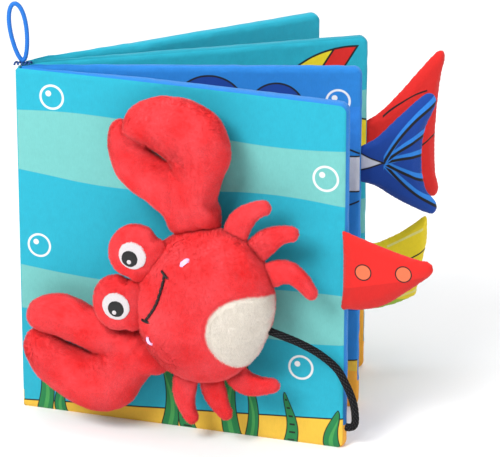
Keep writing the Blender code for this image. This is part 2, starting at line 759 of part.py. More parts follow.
def belly_cutter(name, crab, margin):
    """An oval bar through the front of the body where the belly patch lies."""
    depth = 2 * CRAB_FRONT_DEPTH
    bm = bmesh.new()
    ring = new_ring(
        bm, ellipse(BELLY_HALF_WIDTH + margin, BELLY_HALF_HEIGHT + margin, CRAB_SIDES), 0
    )
    face = bmesh.ops.contextual_create(bm, geom=ring)["faces"]
    grown = bmesh.ops.extrude_face_region(bm, geom=face)["geom"]
    far = [part for part in grown if isinstance(part, bmesh.types.BMVert)]
    bmesh.ops.translate(bm, vec=(0, -depth, 0), verts=far)
    bmesh.ops.recalc_face_normals(bm, faces=bm.faces)
    mesh = bpy.data.meshes.new(name)
    bm.to_mesh(mesh)
    bm.free()
    cutter = bpy.data.objects.new(name, mesh)
    cutter.parent = crab
    cutter.location = (0, 0, -BELLY_DROP)
    cutter.hide_render = True
    cutter.display_type = "WIRE"
    CUTTERS.objects.link(cutter)
    return cutter


def build_face(crab):
    """The stitched mouth and the two cheek stitches, laid on the front panel."""
    mouth = []
    for step in range(MOUTH_POINTS):
        across = 2 * step / (MOUTH_POINTS - 1) - 1
        x = MOUTH_HALF_WIDTH * across
        z = MOUTH_HEIGHT - MOUTH_SAG * (1 - across**2)
        mouth.append((x, -crab_front(x, z) - GAP - MOUTH_THREAD / 2, z))
    cord("crab_mouth", crab, "black_thread", mouth, MOUTH_THREAD)

    for name, side in (("upper", 1), ("lower", -1)):
        x = side * CHEEK_ALONG
        front = crab_front(x, CHEEK_UP)
        bm = bmesh.new()
        size = Matrix.Diagonal((CHEEK_LENGTH, CHEEK_STITCH, CHEEK_STITCH, 1))
        bmesh.ops.create_uvsphere(bm, u_segments=10, v_segments=6, radius=0.5, matrix=size)
        place = (x, -front - GAP - CHEEK_STITCH / 2, CHEEK_UP)
        solid(f"{name}_cheek_stitch", bm, crab, "lilac_thread", place)


def build_crab(cover):
    """The crab on its slide out of the cover's hook patch."""
    surface = -LEAF_ROOT / 2
    slide = empty(
        "slide_crab", cover, (CRAB_ALONG, surface - CRAB_SEAM_LIFT, CRAB_UP),
        (0, -CRAB_TURN, 0),
    )
    hook = surface - PATCH_LIFT - PATCH_THICKNESS / 2
    solid(
        "crab_hook_patch", disc(PATCH_RADIUS, PATCH_THICKNESS), cover, "hook_tape",
        (CRAB_ALONG, hook, CRAB_UP),
    )
    loop = CRAB_SEAM_LIFT - PATCH_LIFT - 3 * PATCH_THICKNESS / 2 - GAP
    solid(
        "crab_loop_patch", disc(PATCH_RADIUS, PATCH_THICKNESS), slide, "hook_tape",
        (0, loop, 0),
    )
    build_crab_body(slide, loop - PATCH_THICKNESS / 2 - GAP)
    build_face(slide)
    for name, side in (("upper", 1), ("lower", -1)):
        build_claw(slide, name, CLAW_PLACES[name], side)
        build_eye(slide, name, side)
        for number in range(len(LEG_PLACES)):
            build_leg(slide, f"{name}_leg_{number + 1}", number, side)


def build_tether(cover):
    """The cord from the crab's seam round the fore edge into the cover's seam."""
    route = [(x, -LEAF_ROOT / 2 - proud, z) for x, proud, z in TETHER_ROUTE]
    points = smooth_route(route, TETHER_SPACING)
    cord("tether_cord", cover, "black_thread", points, TETHER_DIAMETER)


def stand_on_foot(root):
    """Moves the whole book so that the middle of its foot is the origin. The tether
    lies loose, so it isn't counted."""
    graph = bpy.context.evaluated_depsgraph_get()
    corners = []
    for obj in BOOK.objects:
        if obj.type == "EMPTY" or obj.name == "tether_cord":
            continue
        seen = obj.evaluated_get(graph)
        mesh = seen.to_mesh()
        corners += [seen.matrix_world @ vert.co for vert in mesh.vertices]
        seen.to_mesh_clear()
    low = [min(corner[axis] for corner in corners) for axis in range(3)]
    high = [max(corner[axis] for corner in corners) for axis in range(3)]
    root.location = (-(low[0] + high[0]) / 2, -(low[1] + high[1]) / 2, -low[2])


def main():
    root = empty("book_root")
    places = spine_sizes()
    crease = spine_point(0, places["crease"])
    leaves = {
        "front_cover": Leaf("front_cover", COVER_THICKNESS, 0),
        "leaf_2": Leaf("leaf_2", PAGE_THICKNESS, 1 / 2),
        "leaf_3": Leaf("leaf_3", PAGE_THICKNESS, 1 / 2),
        "back_cover": Leaf("back_cover", COVER_THICKNESS, 1),
    }
    hinges = {
        "leaf_2": empty("hinge_leaf_2", root, crease),
        "leaf_3": empty("hinge_leaf_3", root, crease),
    }
    front_hinge = spine_point(0, 0)
    back_hinge = spine_point(0, places["end"])
    hinges["front_cover"] = empty("hinge_front_cover", hinges["leaf_2"], front_hinge - crease)
    hinges["back_cover"] = empty("hinge_back_cover", hinges["leaf_3"], back_hinge - crease)
    roots = {
        "front_cover": cover_root("front_cover", front_hinge, -1) - front_hinge,
        "leaf_2": page_root("leaf_2", places["leaf_2"]) - crease,
        "leaf_3": page_root("leaf_3", places["leaf_3"]) - crease,
        "back_cover": cover_root("back_cover", back_hinge, 1) - back_hinge,
    }
    frames = {
        name: empty(f"frame_{name}", hinges[name], roots[name], (0, 0, FAN_ANGLES[name]))
        for name in leaves
    }

    build_leaf(leaves["front_cover"], frames["front_cover"], "turquoise_print", "blue_print", 1)
    build_leaf(leaves["leaf_2"], frames["leaf_2"], "blue_print", "turquoise_print", 1)
    build_leaf(leaves["leaf_3"], frames["leaf_3"], "turquoise_print", "turquoise_print", -1)
    build_leaf(leaves["back_cover"], frames["back_cover"], "turquoise_print", "blue_print", -1)

    bartack = build_spine(root, hinges, places)
    build_loop(root, bartack)

    finishes = {
        "orange_dot_tail": "red_print",
        "blue_tail": "navy_print",
        "red_tail": "red_print",
        "yellow_tail": "yellow_print",
    }
    for name, sizes in TAILS.items():
        leaf = leaves[sizes["leaf"]]
        proud = 0 if sizes["leaf"] != "front_cover" else -LEAF_ROOT / 2 + TAIL_EDGE / 2
        build_tail(name, sizes, leaf, frames[sizes["leaf"]], finishes[name], proud)

    build_crab(frames["front_cover"])
    build_tether(frames["front_cover"])
    bpy.context.view_layer.update()
    stand_on_foot(root)


for old in list(bpy.data.objects):
    bpy.data.objects.remove(old)
BOOK = bpy.data.collections.new("crinkle_cloth_book")
CUTTERS = bpy.data.collections.new("cutters")
bpy.context.scene.collection.children.link(BOOK)
bpy.context.scene.collection.children.link(CUTTERS)
main()
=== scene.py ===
"""Dresses the packed crinkle cloth book: padded printed leaves, cloth fish tails, a
stuffed plush crab with its stitched face, a braided tether and a hanging loop.

Everything is built in metres in the row frame. A leaf's own frame runs along the
leaf from its root (x), through it from front to back (y) and up (z); the crab's
runs towards its upper claw (x), back to the cover (y) and towards its head (z).
"""

import json
from math import atan2, cos, pi, radians, sin, sqrt

import bmesh
import bpy
import numpy as np
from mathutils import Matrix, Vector
from mathutils.bvhtree import BVHTree
from mathutils.geometry import delaunay_2d_cdt


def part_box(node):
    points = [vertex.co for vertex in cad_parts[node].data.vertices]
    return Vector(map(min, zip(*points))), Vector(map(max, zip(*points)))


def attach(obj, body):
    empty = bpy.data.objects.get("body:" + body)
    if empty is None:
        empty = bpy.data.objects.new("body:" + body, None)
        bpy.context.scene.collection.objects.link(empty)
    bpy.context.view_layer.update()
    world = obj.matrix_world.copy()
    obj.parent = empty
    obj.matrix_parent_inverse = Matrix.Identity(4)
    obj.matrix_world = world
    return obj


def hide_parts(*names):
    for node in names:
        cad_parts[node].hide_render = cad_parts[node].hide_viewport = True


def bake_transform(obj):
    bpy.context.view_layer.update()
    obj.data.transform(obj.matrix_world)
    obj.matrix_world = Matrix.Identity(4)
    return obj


bl_info = {
    "name": "Crinkle Cloth Book",
    "version": (1, 0, 0),
    "blender": (4, 5, 0),
    "location": "View3D > Sidebar > Cloth Book",
    "description": "Builds the padded leaves, tails, plush crab, cords and studio of a cloth book",
    "category": "Add Mesh",
}

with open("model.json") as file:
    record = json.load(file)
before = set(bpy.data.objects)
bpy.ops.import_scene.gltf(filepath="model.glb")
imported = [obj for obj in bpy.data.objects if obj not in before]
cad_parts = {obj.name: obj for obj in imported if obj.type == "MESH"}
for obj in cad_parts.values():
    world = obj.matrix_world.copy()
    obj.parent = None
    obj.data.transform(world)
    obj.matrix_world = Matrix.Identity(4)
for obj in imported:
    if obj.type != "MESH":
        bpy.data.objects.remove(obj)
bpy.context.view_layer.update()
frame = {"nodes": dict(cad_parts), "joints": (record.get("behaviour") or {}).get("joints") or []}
MM = 0.001

LEAF_HEIGHT = 195 * MM
LEAF_CORNER = 4 * MM
LEAF_ROOT = 2.2 * MM
LEAF_PITCH = 4.2 * MM
LEAF_TAPER = 75 * MM
LEAF_CROWN = 0.8 * MM
GAP = 0.3 * MM
SPINE_ANGLE = radians(75)
SPINE_INWARD = SPINE_ANGLE - pi / 2
SPINE_CLOTH = 1 * MM
SPINE_FRONT_MARGIN = 2.6 * MM
SPINE_BACK_MARGIN = 1.1 * MM

# Each leaf's width, thickness, fan angle and the share of its swell on its front.
LEAVES = {
    "front_cover": (183.5 * MM, 8 * MM, radians(-18.5), 0),
    "leaf_2": (181 * MM, 7 * MM, radians(-0.9), 0.5),
    "leaf_3": (191 * MM, 7 * MM, radians(15.4), 0.5),
    "back_cover": (181.5 * MM, 8 * MM, radians(30.7), 1),
}

CRAB_ALONG = 113.6 * MM
CRAB_UP = 81 * MM
CRAB_TURN = radians(72)
CRAB_SEAM_LIFT = 18 * MM
CRAB_HALF_WIDTH = 45 * MM
CRAB_HALF_HEIGHT = 38 * MM
CRAB_FRONT = 21 * MM
CRAB_BACK = 14 * MM
CRAB_BROW = 3 * MM

# The tether's knots in millimetres: along the cover, how far it stands proud, and up.
TETHER_ROUTE = (
    (150.3, 18, 69.6), (156.5, 17, 67.4), (164, 11.5, 62.2), (172.5, 6.3, 55.4),
    (181, 4, 47.6), (186, 2.8, 38.6), (189.3, 0.8, 28.6), (189.9, -1.8, 19.4),
    (189.1, -3.6, 13.4), (186.9, -4, 11.2), (183.9, -4, 11),
)


def joint(name):
    """A joint of the packed part."""
    return next(j for j in frame["joints"] if j["name"] == name)


def ease(share):
    """A share kept from 0 to 1 and eased at both ends."""
    share = np.clip(share, 0, 1)
    return share * share * (3 - 2 * share)


def placed(x_axis, y_axis, z_axis, origin):
    """A 4 by 4 placing matrix from three axes and an origin."""
    made = np.eye(4)
    made[:3, 0], made[:3, 1], made[:3, 2], made[:3, 3] = x_axis, y_axis, z_axis, origin
    return made


def turned_y(angle, origin):
    """A frame turned about y by an angle, with its origin somewhere."""
    c, s = cos(angle), sin(angle)
    return placed((c, 0, -s), (0, 1, 0), (s, 0, c), origin)


FOOT = np.array(joint("open_front_cover")["pos_m"])


def spine_point(across, along, up=0):
    """Places on the spine, in from its outside, along it from the front cover's hinge,
    and up."""
    return np.stack(np.broadcast_arrays(
        FOOT[0] + across * cos(SPINE_INWARD) + along * cos(SPINE_ANGLE),
        FOOT[1] + across * sin(SPINE_INWARD) + along * sin(SPINE_ANGLE),
        up,
    ), -1)


def leaf_frame(name):
    """A leaf's own frame, at the foot of its root's middle."""
    angle = LEAVES[name][2]
    along = np.array((cos(angle), sin(angle), 0))
    through = np.array((-sin(angle), cos(angle), 0))
    if name == "front_cover":
        origin = FOOT + along * GAP + through * LEAF_ROOT / 2
    elif name == "back_cover":
        hinge = np.array(joint("open_back_cover")["pos_m"])
        origin = hinge + along * GAP - through * LEAF_ROOT / 2
    else:
        row = LEAF_ROOT / 2 + LEAF_PITCH * (1 if name == "leaf_2" else 2)
        lean = abs(sin(angle - SPINE_INWARD))
        origin = spine_point(SPINE_CLOTH + GAP + LEAF_ROOT / 2 * lean, row)
    return placed(along, through, (0, 0, 1), origin)


def crab_frame():
    """The crab's own frame, in the middle of its seam."""
    here = (CRAB_ALONG, -LEAF_ROOT / 2 - CRAB_SEAM_LIFT, CRAB_UP)
    return leaf_frame("front_cover") @ turned_y(-CRAB_TURN, here)


def moved(points, place):
    """Points taken through a placing matrix."""
    return np.asarray(points) @ place[:3, :3].T + place[:3, 3]


def within(points, place):
    """Points in the own axes of a placed frame."""
    return (points - place[:3, 3]) @ place[:3, :3]


def merged(parts):
    """The points and faces of several meshes as those of one."""
    shifts = np.cumsum([0] + [len(points) for points, _ in parts])
    faces = [cuts + shift for (_, cuts), shift in zip(parts, shifts)]
    return np.vstack([points for points, _ in parts]), np.vstack(faces)


def grid_faces(rows, columns, round_rows=False, round_columns=False, flip=False):
    """Four-sided faces over rows of points, which can run round either way."""
    i = np.arange(rows if round_rows else rows - 1)[:, None]
    j = np.arange(columns if round_columns else columns - 1)
    k, m = (i + 1) % rows, (j + 1) % columns
    faces = np.stack((
        i * columns + j, i * columns + m, k * columns + m, k * columns + j,
    ), -1).reshape(-1, 4)
    return faces[:, (0, 3, 2, 1)] if flip else faces


# Display colours of each cloth and thread, as six hex digits. Some stand for painted light: the
# deep plush red is painted shade and the pink plush red partly painted sheen, and the greenish
# yellow at the yellow tail's foot is painted shade.
COLOURS = {
    "cyan": "1d9fb7", "pale": "68b2af", "teal": "1590a6",
    "blue": "1f78c4", "royal": "1449a0", "navy": "063a8c", "sky": "2679cd",
    "sand": "dcb23c", "orange": "e8a232", "weed": "1e7743", "leaf": "4ea353",
    "red": "ce1e1a", "crimson": "ac1412", "coral": "dc6a46", "yellow": "dec620",
    "lemon": "d8cf7c", "tail_foot_shade": "94b434", "grey": "c0c3cc", "white": "d6dadb",
    "ink": "121316", "plush": "ff585f", "plush_painted_shade": "f92a2c", "cream": "f7f0e3",
    "thread": "0c0c0e", "lilac": "d8bce4", "eye": "bdb8bb", "cord": "1267bd", "bar": "103d7c",
}


def shade(name):
    """A named display colour as linear red, green and blue."""
    parts = [int(COLOURS[name][at:at + 2], 16) / 255 for at in (0, 2, 4)]
    return tuple(p / 12.92 if p <= 0.04045 else ((p + 0.055) / 1.055) ** 2.4 for p in parts)


def add(tree, kind, *inputs, out=0, **settings):
    """A new shader node with its settings and inputs; returns one of its outputs."""
    node = tree.nodes.new(f"ShaderNode{kind}")
    for key, value in settings.items():
        setattr(node, key, value)
    for slot, value in enumerate(inputs):
        if isinstance(value, bpy.types.NodeSocket):
            tree.links.new(value, node.inputs[slot])
        elif value is not None:
            node.inputs[slot].default_value = value
    return node.outputs[out]


def figure(tree, operation, *inputs, clamp=False):
    """A sum in a shader."""
    return add(tree, "Math", *inputs, operation=operation, use_clamp=clamp)


def mixed(tree, factor, first, second, blend="MIX"):
    """Two colours mixed by a factor."""
    node = tree.nodes.new("ShaderNodeMix")
    node.data_type = "RGBA"
    node.blend_type = blend
    for slot, value in ((0, factor), (6, first), (7, second)):
        if isinstance(value, bpy.types.NodeSocket):
            tree.links.new(value, node.inputs[slot])
        elif isinstance(value, (int, float)):
            node.inputs[slot].default_value = value
        else:
            node.inputs[slot].default_value = (*value, 1)
    return node.outputs[2]


def blank(name):
    """A new material with its node tree and shader."""
    made = bpy.data.materials.new(name)
    made.use_nodes = True
    tree = made.node_tree
    return made, tree, tree.nodes["Principled BSDF"]


def cloth_place(tree):
    """The place on a piece's cloth, how far along it and how far up."""
    place = add(tree, "UVMap", uv_map="cloth")
    split = tree.nodes.new("ShaderNodeSeparateXYZ")
    tree.links.new(place, split.inputs[0])
    return place, split.outputs[0], split.outputs[1]


def tint(tree, shader, colour, light):
    """Gives a shader its colour, made lighter or darker by a factor."""
    tinted = add(tree, "VectorMath", colour, None, None, light, operation="SCALE")
    tree.links.new(tinted, shader.inputs["Base Color"])


def raise_surface(tree, shader, strength, distance, height):
    """Gives a shader its bumps."""
    bumps = add(tree, "Bump", strength, distance, None, height)
    tree.links.new(bumps, shader.inputs["Normal"])


def set_inputs(shader, values):
    """Sets a shader's inputs by their labels."""
    for label, value in values.items():
        shader.inputs[label].default_value = value


class Print:
    """A print laid on cloth, shape over shape. Every shape is a distance in metres,
    less than nothing inside it, worked out from the place along and up the cloth."""

    EDGE = 0.16 * MM

    def __init__(self, tree, ground):
        self.tree = tree
        self.place, self.x, self.z = cloth_place(tree)
        self.colour = shade(ground)

    def math(self, operation, *inputs):
        """A sum on distances or places."""
        return figure(self.tree, operation, *inputs)

    def wave(self, level, rise=0, length=1, phase=0):
        """Height above a wavy line: z less the level and a sine of x."""
        if not rise:
            return self.math("SUBTRACT", self.z, level)
        turn = self.math("MULTIPLY_ADD", self.x, 2 * pi / length, phase)
        line = self.math("MULTIPLY_ADD", self.math("SINE", turn), rise, level)
        return self.math("SUBTRACT", self.z, line)

    def line(self, start, end):
        """Distance from a straight line, more than nothing on its left."""
        run = np.subtract(end, start)
        across = np.array((-run[1], run[0])) / np.hypot(*run)
        side = self.math("MULTIPLY", self.x, across[0])
        side = self.math("MULTIPLY_ADD", self.z, across[1], side)
        return self.math("SUBTRACT", side, float(across @ np.array(start)))

    def circle(self, x, z, radius):
        """Distance from a circle's rim."""
        gap = add(self.tree, "VectorMath", self.place, (x, z, 0), operation="DISTANCE", out=1)
        return self.math("SUBTRACT", gap, radius)

    def blade(self, x, foot, height, bend, width):
        """A blade of weed: how far from its bent middle line, less its width, which
        narrows to the tip with a power of what is left of the height."""
        share = self.math("MULTIPLY_ADD", self.z, 1 / height, -foot / height)
        turn = self.math("SINE", self.math("MULTIPLY", share, 4.2))
        middle = self.math("MULTIPLY_ADD", turn, bend, x)
        gap = self.math("ABSOLUTE", self.math("SUBTRACT", self.x, middle))
        left = self.math("MAXIMUM", self.math("SUBTRACT", 1, share), 0)
        room = self.math("MULTIPLY", self.math("POWER", left, 0.6), width)
        side = self.math("SUBTRACT", gap, room)
        return self.math("MAXIMUM", side, self.math("SUBTRACT", self.z, foot + height))

    def both(self, first, second):
        """What lies in two shapes."""
        return self.math("MAXIMUM", first, second)

    def less(self, shape, other):
        """What lies in a shape and outside another."""
        return self.both(shape, self.math("MULTIPLY", other, -1))

    def past(self, x):
        """All that lies further along than a place."""
        return self.math("SUBTRACT", x, self.x)

    def between(self, low, high):
        """All that lies between two places along."""
        return self.both(self.past(low), self.math("SUBTRACT", self.x, high))

    def band(self, distance, width):
        """A line of a width along a shape's rim."""
        return self.math("SUBTRACT", self.math("ABSOLUTE", distance), width / 2)

    def fill(self, distance, colour, strength=1):
        """Paints the inside of a shape."""
        slope = -1 / (2 * self.EDGE)
        share = figure(self.tree, "MULTIPLY_ADD", distance, slope, 0.5, clamp=True)
        if strength < 1:
            share = self.math("MULTIPLY", share, strength)
        self.colour = mixed(self.tree, share, self.colour, shade(colour))

    def stroke(self, distance, width, colour="ink"):
        """Paints a line of a width along a shape's rim."""
        self.fill(self.band(distance, width), colour)

    def outlined(self, distance, colour, width):
        """Paints a shape and a dark line round it."""
        self.fill(distance, colour)
        self.stroke(distance, width)

    def bubble(self, x, z, radius):
        """A white ring with a dot of light in it."""
        self.stroke(self.circle(x, z, radius), radius * 0.19, "white")
        self.fill(self.circle(x - radius * 0.3, z + radius * 0.3, radius * 0.25), "white")

    def weed(self, x, height, bend, width, foot=4 * MM, ribs=False):
        """A blade of weed with a dark outline and a lighter streak, or with dark ribs."""
        shape = self.blade(x, foot, height, bend, width)
        self.fill(self.math("SUBTRACT", shape, 0.55 * MM), "ink")
        self.fill(shape, "weed")
        if ribs:
            rib = self.math("SINE", self.math("MULTIPLY", self.z, 2 * pi / (4.6 * MM)))
            rib = self.math("MULTIPLY_ADD", rib, -MM, 0.75 * MM)
            self.fill(self.both(rib, self.blade(x, foot, height, bend, width * 0.55)), "ink")
        else:
            self.fill(self.blade(x, foot, height * 0.8, bend, width * 0.3), "leaf", 0.6)


YARN = 0.42 * MM


def cloth_finish(tree, shader, colour):
    """Woven polyester: fine crossing yarns, a soft mottle, a brushed sheen."""
    _, along, up = cloth_place(tree)
    warp = figure(tree, "SINE", figure(tree, "MULTIPLY", along, 2 * pi / YARN))
    weft = figure(tree, "SINE", figure(tree, "MULTIPLY", up, 2 * pi / YARN))
    yarn_rise_and_shade = figure(tree, "MULTIPLY", warp, weft)
    where = add(tree, "TexCoord", out=3)
    mottle = add(tree, "TexNoise", where, None, 260, 3, 0.6)
    drawn = add(tree, "Mapping", where, None, None, (1, 1, 0.16))
    slubs = add(tree, "TexNoise", drawn, None, 2600, 2)
    light = figure(tree, "MULTIPLY_ADD", mottle, 0.14, 0.93)
    light = figure(tree, "MULTIPLY_ADD", figure(tree, "SUBTRACT", slubs, 0.5), 0.16, light)
    # Painted shade: the colour is a little darker where the crossing yarns dip and lighter where
    # they rise.
    light = figure(tree, "MULTIPLY_ADD", yarn_rise_and_shade, 0.025, light)
    tint(tree, shader, colour, light)
    height = figure(tree, "MULTIPLY_ADD", slubs, 1.2, yarn_rise_and_shade)
    height = figure(tree, "MULTIPLY_ADD", mottle, 1.6, height)
    raise_surface(tree, shader, 0.5, 0.09 * MM, height)
    set_inputs(shader, {
        "Roughness": 0.82, "Sheen Weight": 0.12, "Sheen Roughness": 0.45,
        "Specular IOR Level": 0.3,
    })


def printed_cloth(name, ground, draw):
    """A printed cloth: draw(art) lays the shapes over the ground colour."""
    made, tree, shader = blank(name)
    art = Print(tree, ground)
    draw(art)
    cloth_finish(tree, shader, art.colour)
    return made


def plush(name, patch=None):
    """Short pile plush: hairs that lean and clump, darker where they part, with a
    soft glow at the edge. A patch (x, z, half width, half height) of cream cloth can
    be let in at the front, where the cloth's front attribute is one."""
    made, tree, shader = blank(name)
    where = add(tree, "TexCoord", out=3)
    clump = add(tree, "TexNoise", where, None, 420, 3, 0.65)
    brushed = add(tree, "TexNoise", where, None, 70, 2, 0.5)
    lean = add(tree, "Mapping", where, None, (0, 0.5, 0.3), (1, 1, 0.22))
    hair = add(tree, "TexNoise", lean, None, 3000, 2, 0.6)
    # Painted sheen and shade: clump and brushed noise mix the plush from a deep red, painted shade
    # where the hairs part and the nap lies away from the light, to a pink red, painted sheen where
    # the nap catches the light.
    nap_sheen_and_shade = figure(tree, "MULTIPLY_ADD", clump, 0.7, figure(tree, "MULTIPLY", brushed, 1.5))
    nap_sheen_and_shade = figure(tree, "SUBTRACT", nap_sheen_and_shade, 0.6, clamp=True)
    base = mixed(tree, nap_sheen_and_shade, shade("plush_painted_shade"), shade("plush"))
    if patch:
        x, z, half_width, half_height = patch
        art = Print(tree, "cream")
        across = art.math("MULTIPLY_ADD", art.x, 1 / half_width, -x / half_width)
        up = art.math("MULTIPLY_ADD", art.z, 1 / half_height, -z / half_height)
        squared = art.math("MULTIPLY_ADD", across, across, art.math("POWER", up, 2))
        reach = art.math("SQRT", squared)
        wobble = figure(tree, "MULTIPLY_ADD", clump, 0.05, -0.025)
        inside = art.math("SUBTRACT", art.math("ADD", reach, wobble), 1)
        share = figure(tree, "MULTIPLY_ADD", inside, -18, 0.5, clamp=True)
        front = add(tree, "Attribute", out=2, attribute_name="front")
        # The cream is mixed darker by the same noise, as painted shade.
        cream = mixed(tree, nap_sheen_and_shade, (0.86, 0.8, 0.72), shade("cream"))
        base = mixed(tree, figure(tree, "MULTIPLY", share, front), base, cream)
    light = figure(tree, "MULTIPLY_ADD", hair, 0.36, 0.62)
    # Painted highlight: each hair is painted lighter towards its tip, which leaves its root
    # darker, as painted shade among the hairs.
    tip = add(tree, "Attribute", out=2, attribute_name="tip")
    light = figure(tree, "MULTIPLY_ADD", tip, 0.24, light)
    tint(tree, shader, base, light)
    height = figure(tree, "MULTIPLY_ADD", hair, 0.7, clump)
    raise_surface(tree, shader, 0.7, 0.35 * MM, height)
    set_inputs(shader, {
        "Roughness": 0.95, "Specular IOR Level": 0.15, "Sheen Weight": 0.3,
        "Sheen Roughness": 0.4, "Sheen Tint": (1, 0.5, 0.5, 1),
    })
    return made


def threads(name, colour, scale, rough):
    """Satin stitch or woven cord: fine glossy strands."""
    made, tree, shader = blank(name)
    where = add(tree, "TexCoord", out=3)
    strands = add(tree, "TexNoise", where, None, scale, 2, 0.55)
    light = figure(tree, "MULTIPLY_ADD", strands, 0.5, 0.75)
    tint(tree, shader, add(tree, "CombineColor", *shade(colour)), light)
    raise_surface(tree, shader, 0.5, 0.1 * MM, strands)
    set_inputs(shader, {"Roughness": rough, "Specular IOR Level": 0.35})
    return made


def piece(name, points, faces, material, cloth=None):
    """A finished object from points and faces, with places along and up the cloth
    kept as a UV map for its print."""
    mesh = bpy.data.meshes.new(name)
    mesh.from_pydata(points.tolist(), [], faces if isinstance(faces, list) else faces.tolist())
    if cloth is not None:
        corners = np.empty(len(mesh.loops), int)
        mesh.loops.foreach_get("vertex_index", corners)
        layer = mesh.uv_layers.new(name="cloth")
        layer.data.foreach_set("uv", cloth[corners].astype(np.float32).ravel())
    mesh.polygons.foreach_set("use_smooth", np.full(len(mesh.polygons), True))
    mesh.materials.append(material)
    made = bpy.data.objects.new(name, mesh)
    bpy.context.scene.collection.objects.link(made)
    return made


def noise(x, z, size, seed):
    """Smooth value noise from -1 to 1 over a plane: random heights on a square
    lattice of one size, eased between the corners."""
    table = np.random.default_rng(seed).uniform(-1, 1, (64, 64))
    u, v = np.asarray(x) / size + 17.3, np.asarray(z) / size + 9.1
    i, j = np.floor(u).astype(int), np.floor(v).astype(int)
    s, t = ease(u - i), ease(v - j)
    low = table[i % 64, j % 64] * (1 - s) + table[(i + 1) % 64, j % 64] * s
    high = table[i % 64, (j + 1) % 64] * (1 - s) + table[(i + 1) % 64, (j + 1) % 64] * s
    return low * (1 - t) + high * t


def smooth_line(points, spacing, closed=False):
    """Points about a spacing apart along a Catmull-Rom curve through knots."""
    knots = np.asarray(points, float)
    if closed:
        knots = np.vstack((knots[-1:], knots, knots[:2]))
    else:
        knots = np.vstack((2 * knots[0] - knots[1], knots, 2 * knots[-1] - knots[-2]))
    run = []
    for before, start, end, after in zip(knots, knots[1:], knots[2:], knots[3:]):
        steps = max(1, round(float(np.linalg.norm(end - start)) / spacing))
        t = (np.arange(steps) / steps)[:, None]
        run.append(
            start + (end - before) * t / 2
            + (2 * before - 5 * start + 4 * end - after) * t**2 / 2
            + (3 * start - before - 3 * end + after) * t**3 / 2
        )
    if not closed:
        run.append(knots[-2:-1])
    return np.vstack(run)


def rim_distance(points, outline):
    """How far each flat point lies from a closed outline."""
    start, end = outline, np.roll(outline, -1, axis=0)
    run = end - start
    length = np.maximum((run**2).sum(1), 1e-18)
    nearest = np.full(len(points), np.inf)
    for a, r, l in zip(start, run, length):
        t = np.clip(((points - a) @ r) / l, 0, 1)[:, None]
        nearest = np.minimum(nearest, ((points - a - r * t) ** 2).sum(1))
    return np.sqrt(nearest)


def inside(points, outline):
    """Which flat points lie in a closed outline, by counting crossings."""
    found = np.zeros(len(points), bool)
    for (x0, z0), (x1, z1) in zip(outline, np.roll(outline, -1, axis=0)):
        if z0 == z1:
            continue
        crosses = (points[:, 1] > min(z0, z1)) & (points[:, 1] <= max(z0, z1))
        at = x0 + (points[:, 1] - z0) * (x1 - x0) / (z1 - z0)
        found ^= crosses & (points[:, 0] < at)
    return found


def flat_cut(outline, spacing):
    """A flat cloth cut to an outline, as triangles: a hexagonal grid inside it."""
    low, high = outline.min(0), outline.max(0)
    grid = []
    for row, z in enumerate(np.arange(low[1], high[1], spacing * 0.87)):
        x = np.arange(low[0] + (row % 2) * spacing / 2, high[0], spacing)
        grid.append(np.column_stack((x, np.full(len(x), z))))
    grid = np.vstack(grid)
    grid = grid[inside(grid, outline)]
    grid = grid[rim_distance(grid, outline) > spacing * 0.6]
    every = [Vector(p) for p in np.vstack((outline, grid))]
    count = len(outline)
    edges = [(at, (at + 1) % count) for at in range(count)]
    cut = delaunay_2d_cdt(every, edges, [], 1, 1e-7)
    return np.array([tuple(v) for v in cut[0]]), np.array([f for f in cut[2] if len(f) == 3])


def stuffed(outline, front, back, roll, spacing, root=0):
    """A closed pad cut to an outline. Each face rises from the rim as a quarter
    circle of the roll's radius, scaled to its depth, and thins towards the root."""
    flat, cuts = flat_cut(outline, spacing)
    a, b, c = (flat[cuts[:, k]] for k in range(3))
    turn = (b - a)[:, 0] * (c - a)[:, 1] - (b - a)[:, 1] * (c - a)[:, 0]
    cuts[turn < 0] = cuts[turn < 0][:, ::-1]
    away = rim_distance(flat, outline)
    rim = away < 1e-6
    rise = np.sqrt(np.maximum(0, 1 - (1 - np.minimum(away / roll, 1)) ** 2))
    if root:
        rise = rise * (0.3 + 0.7 * ease((flat[:, 0] - flat[:, 0].min()) / root))
    other = np.arange(len(flat))
    other[~rim] = len(flat) + np.arange((~rim).sum())
    points = np.column_stack((flat[:, 0], -front * rise, flat[:, 1]))
    behind = np.column_stack((flat[:, 0], back * rise, flat[:, 1]))[~rim]
    points = np.vstack((points, behind))
    faces = np.vstack((cuts, other[cuts][:, ::-1]))
    sides = np.concatenate((np.where(rim, 0.5, 1), np.zeros((~rim).sum())))
    return points, faces, points[:, (0, 2)].copy(), sides


PUFF_SCALE = 10
PUFF_FRAMES = 18
PUFF_STIFFNESS = 15


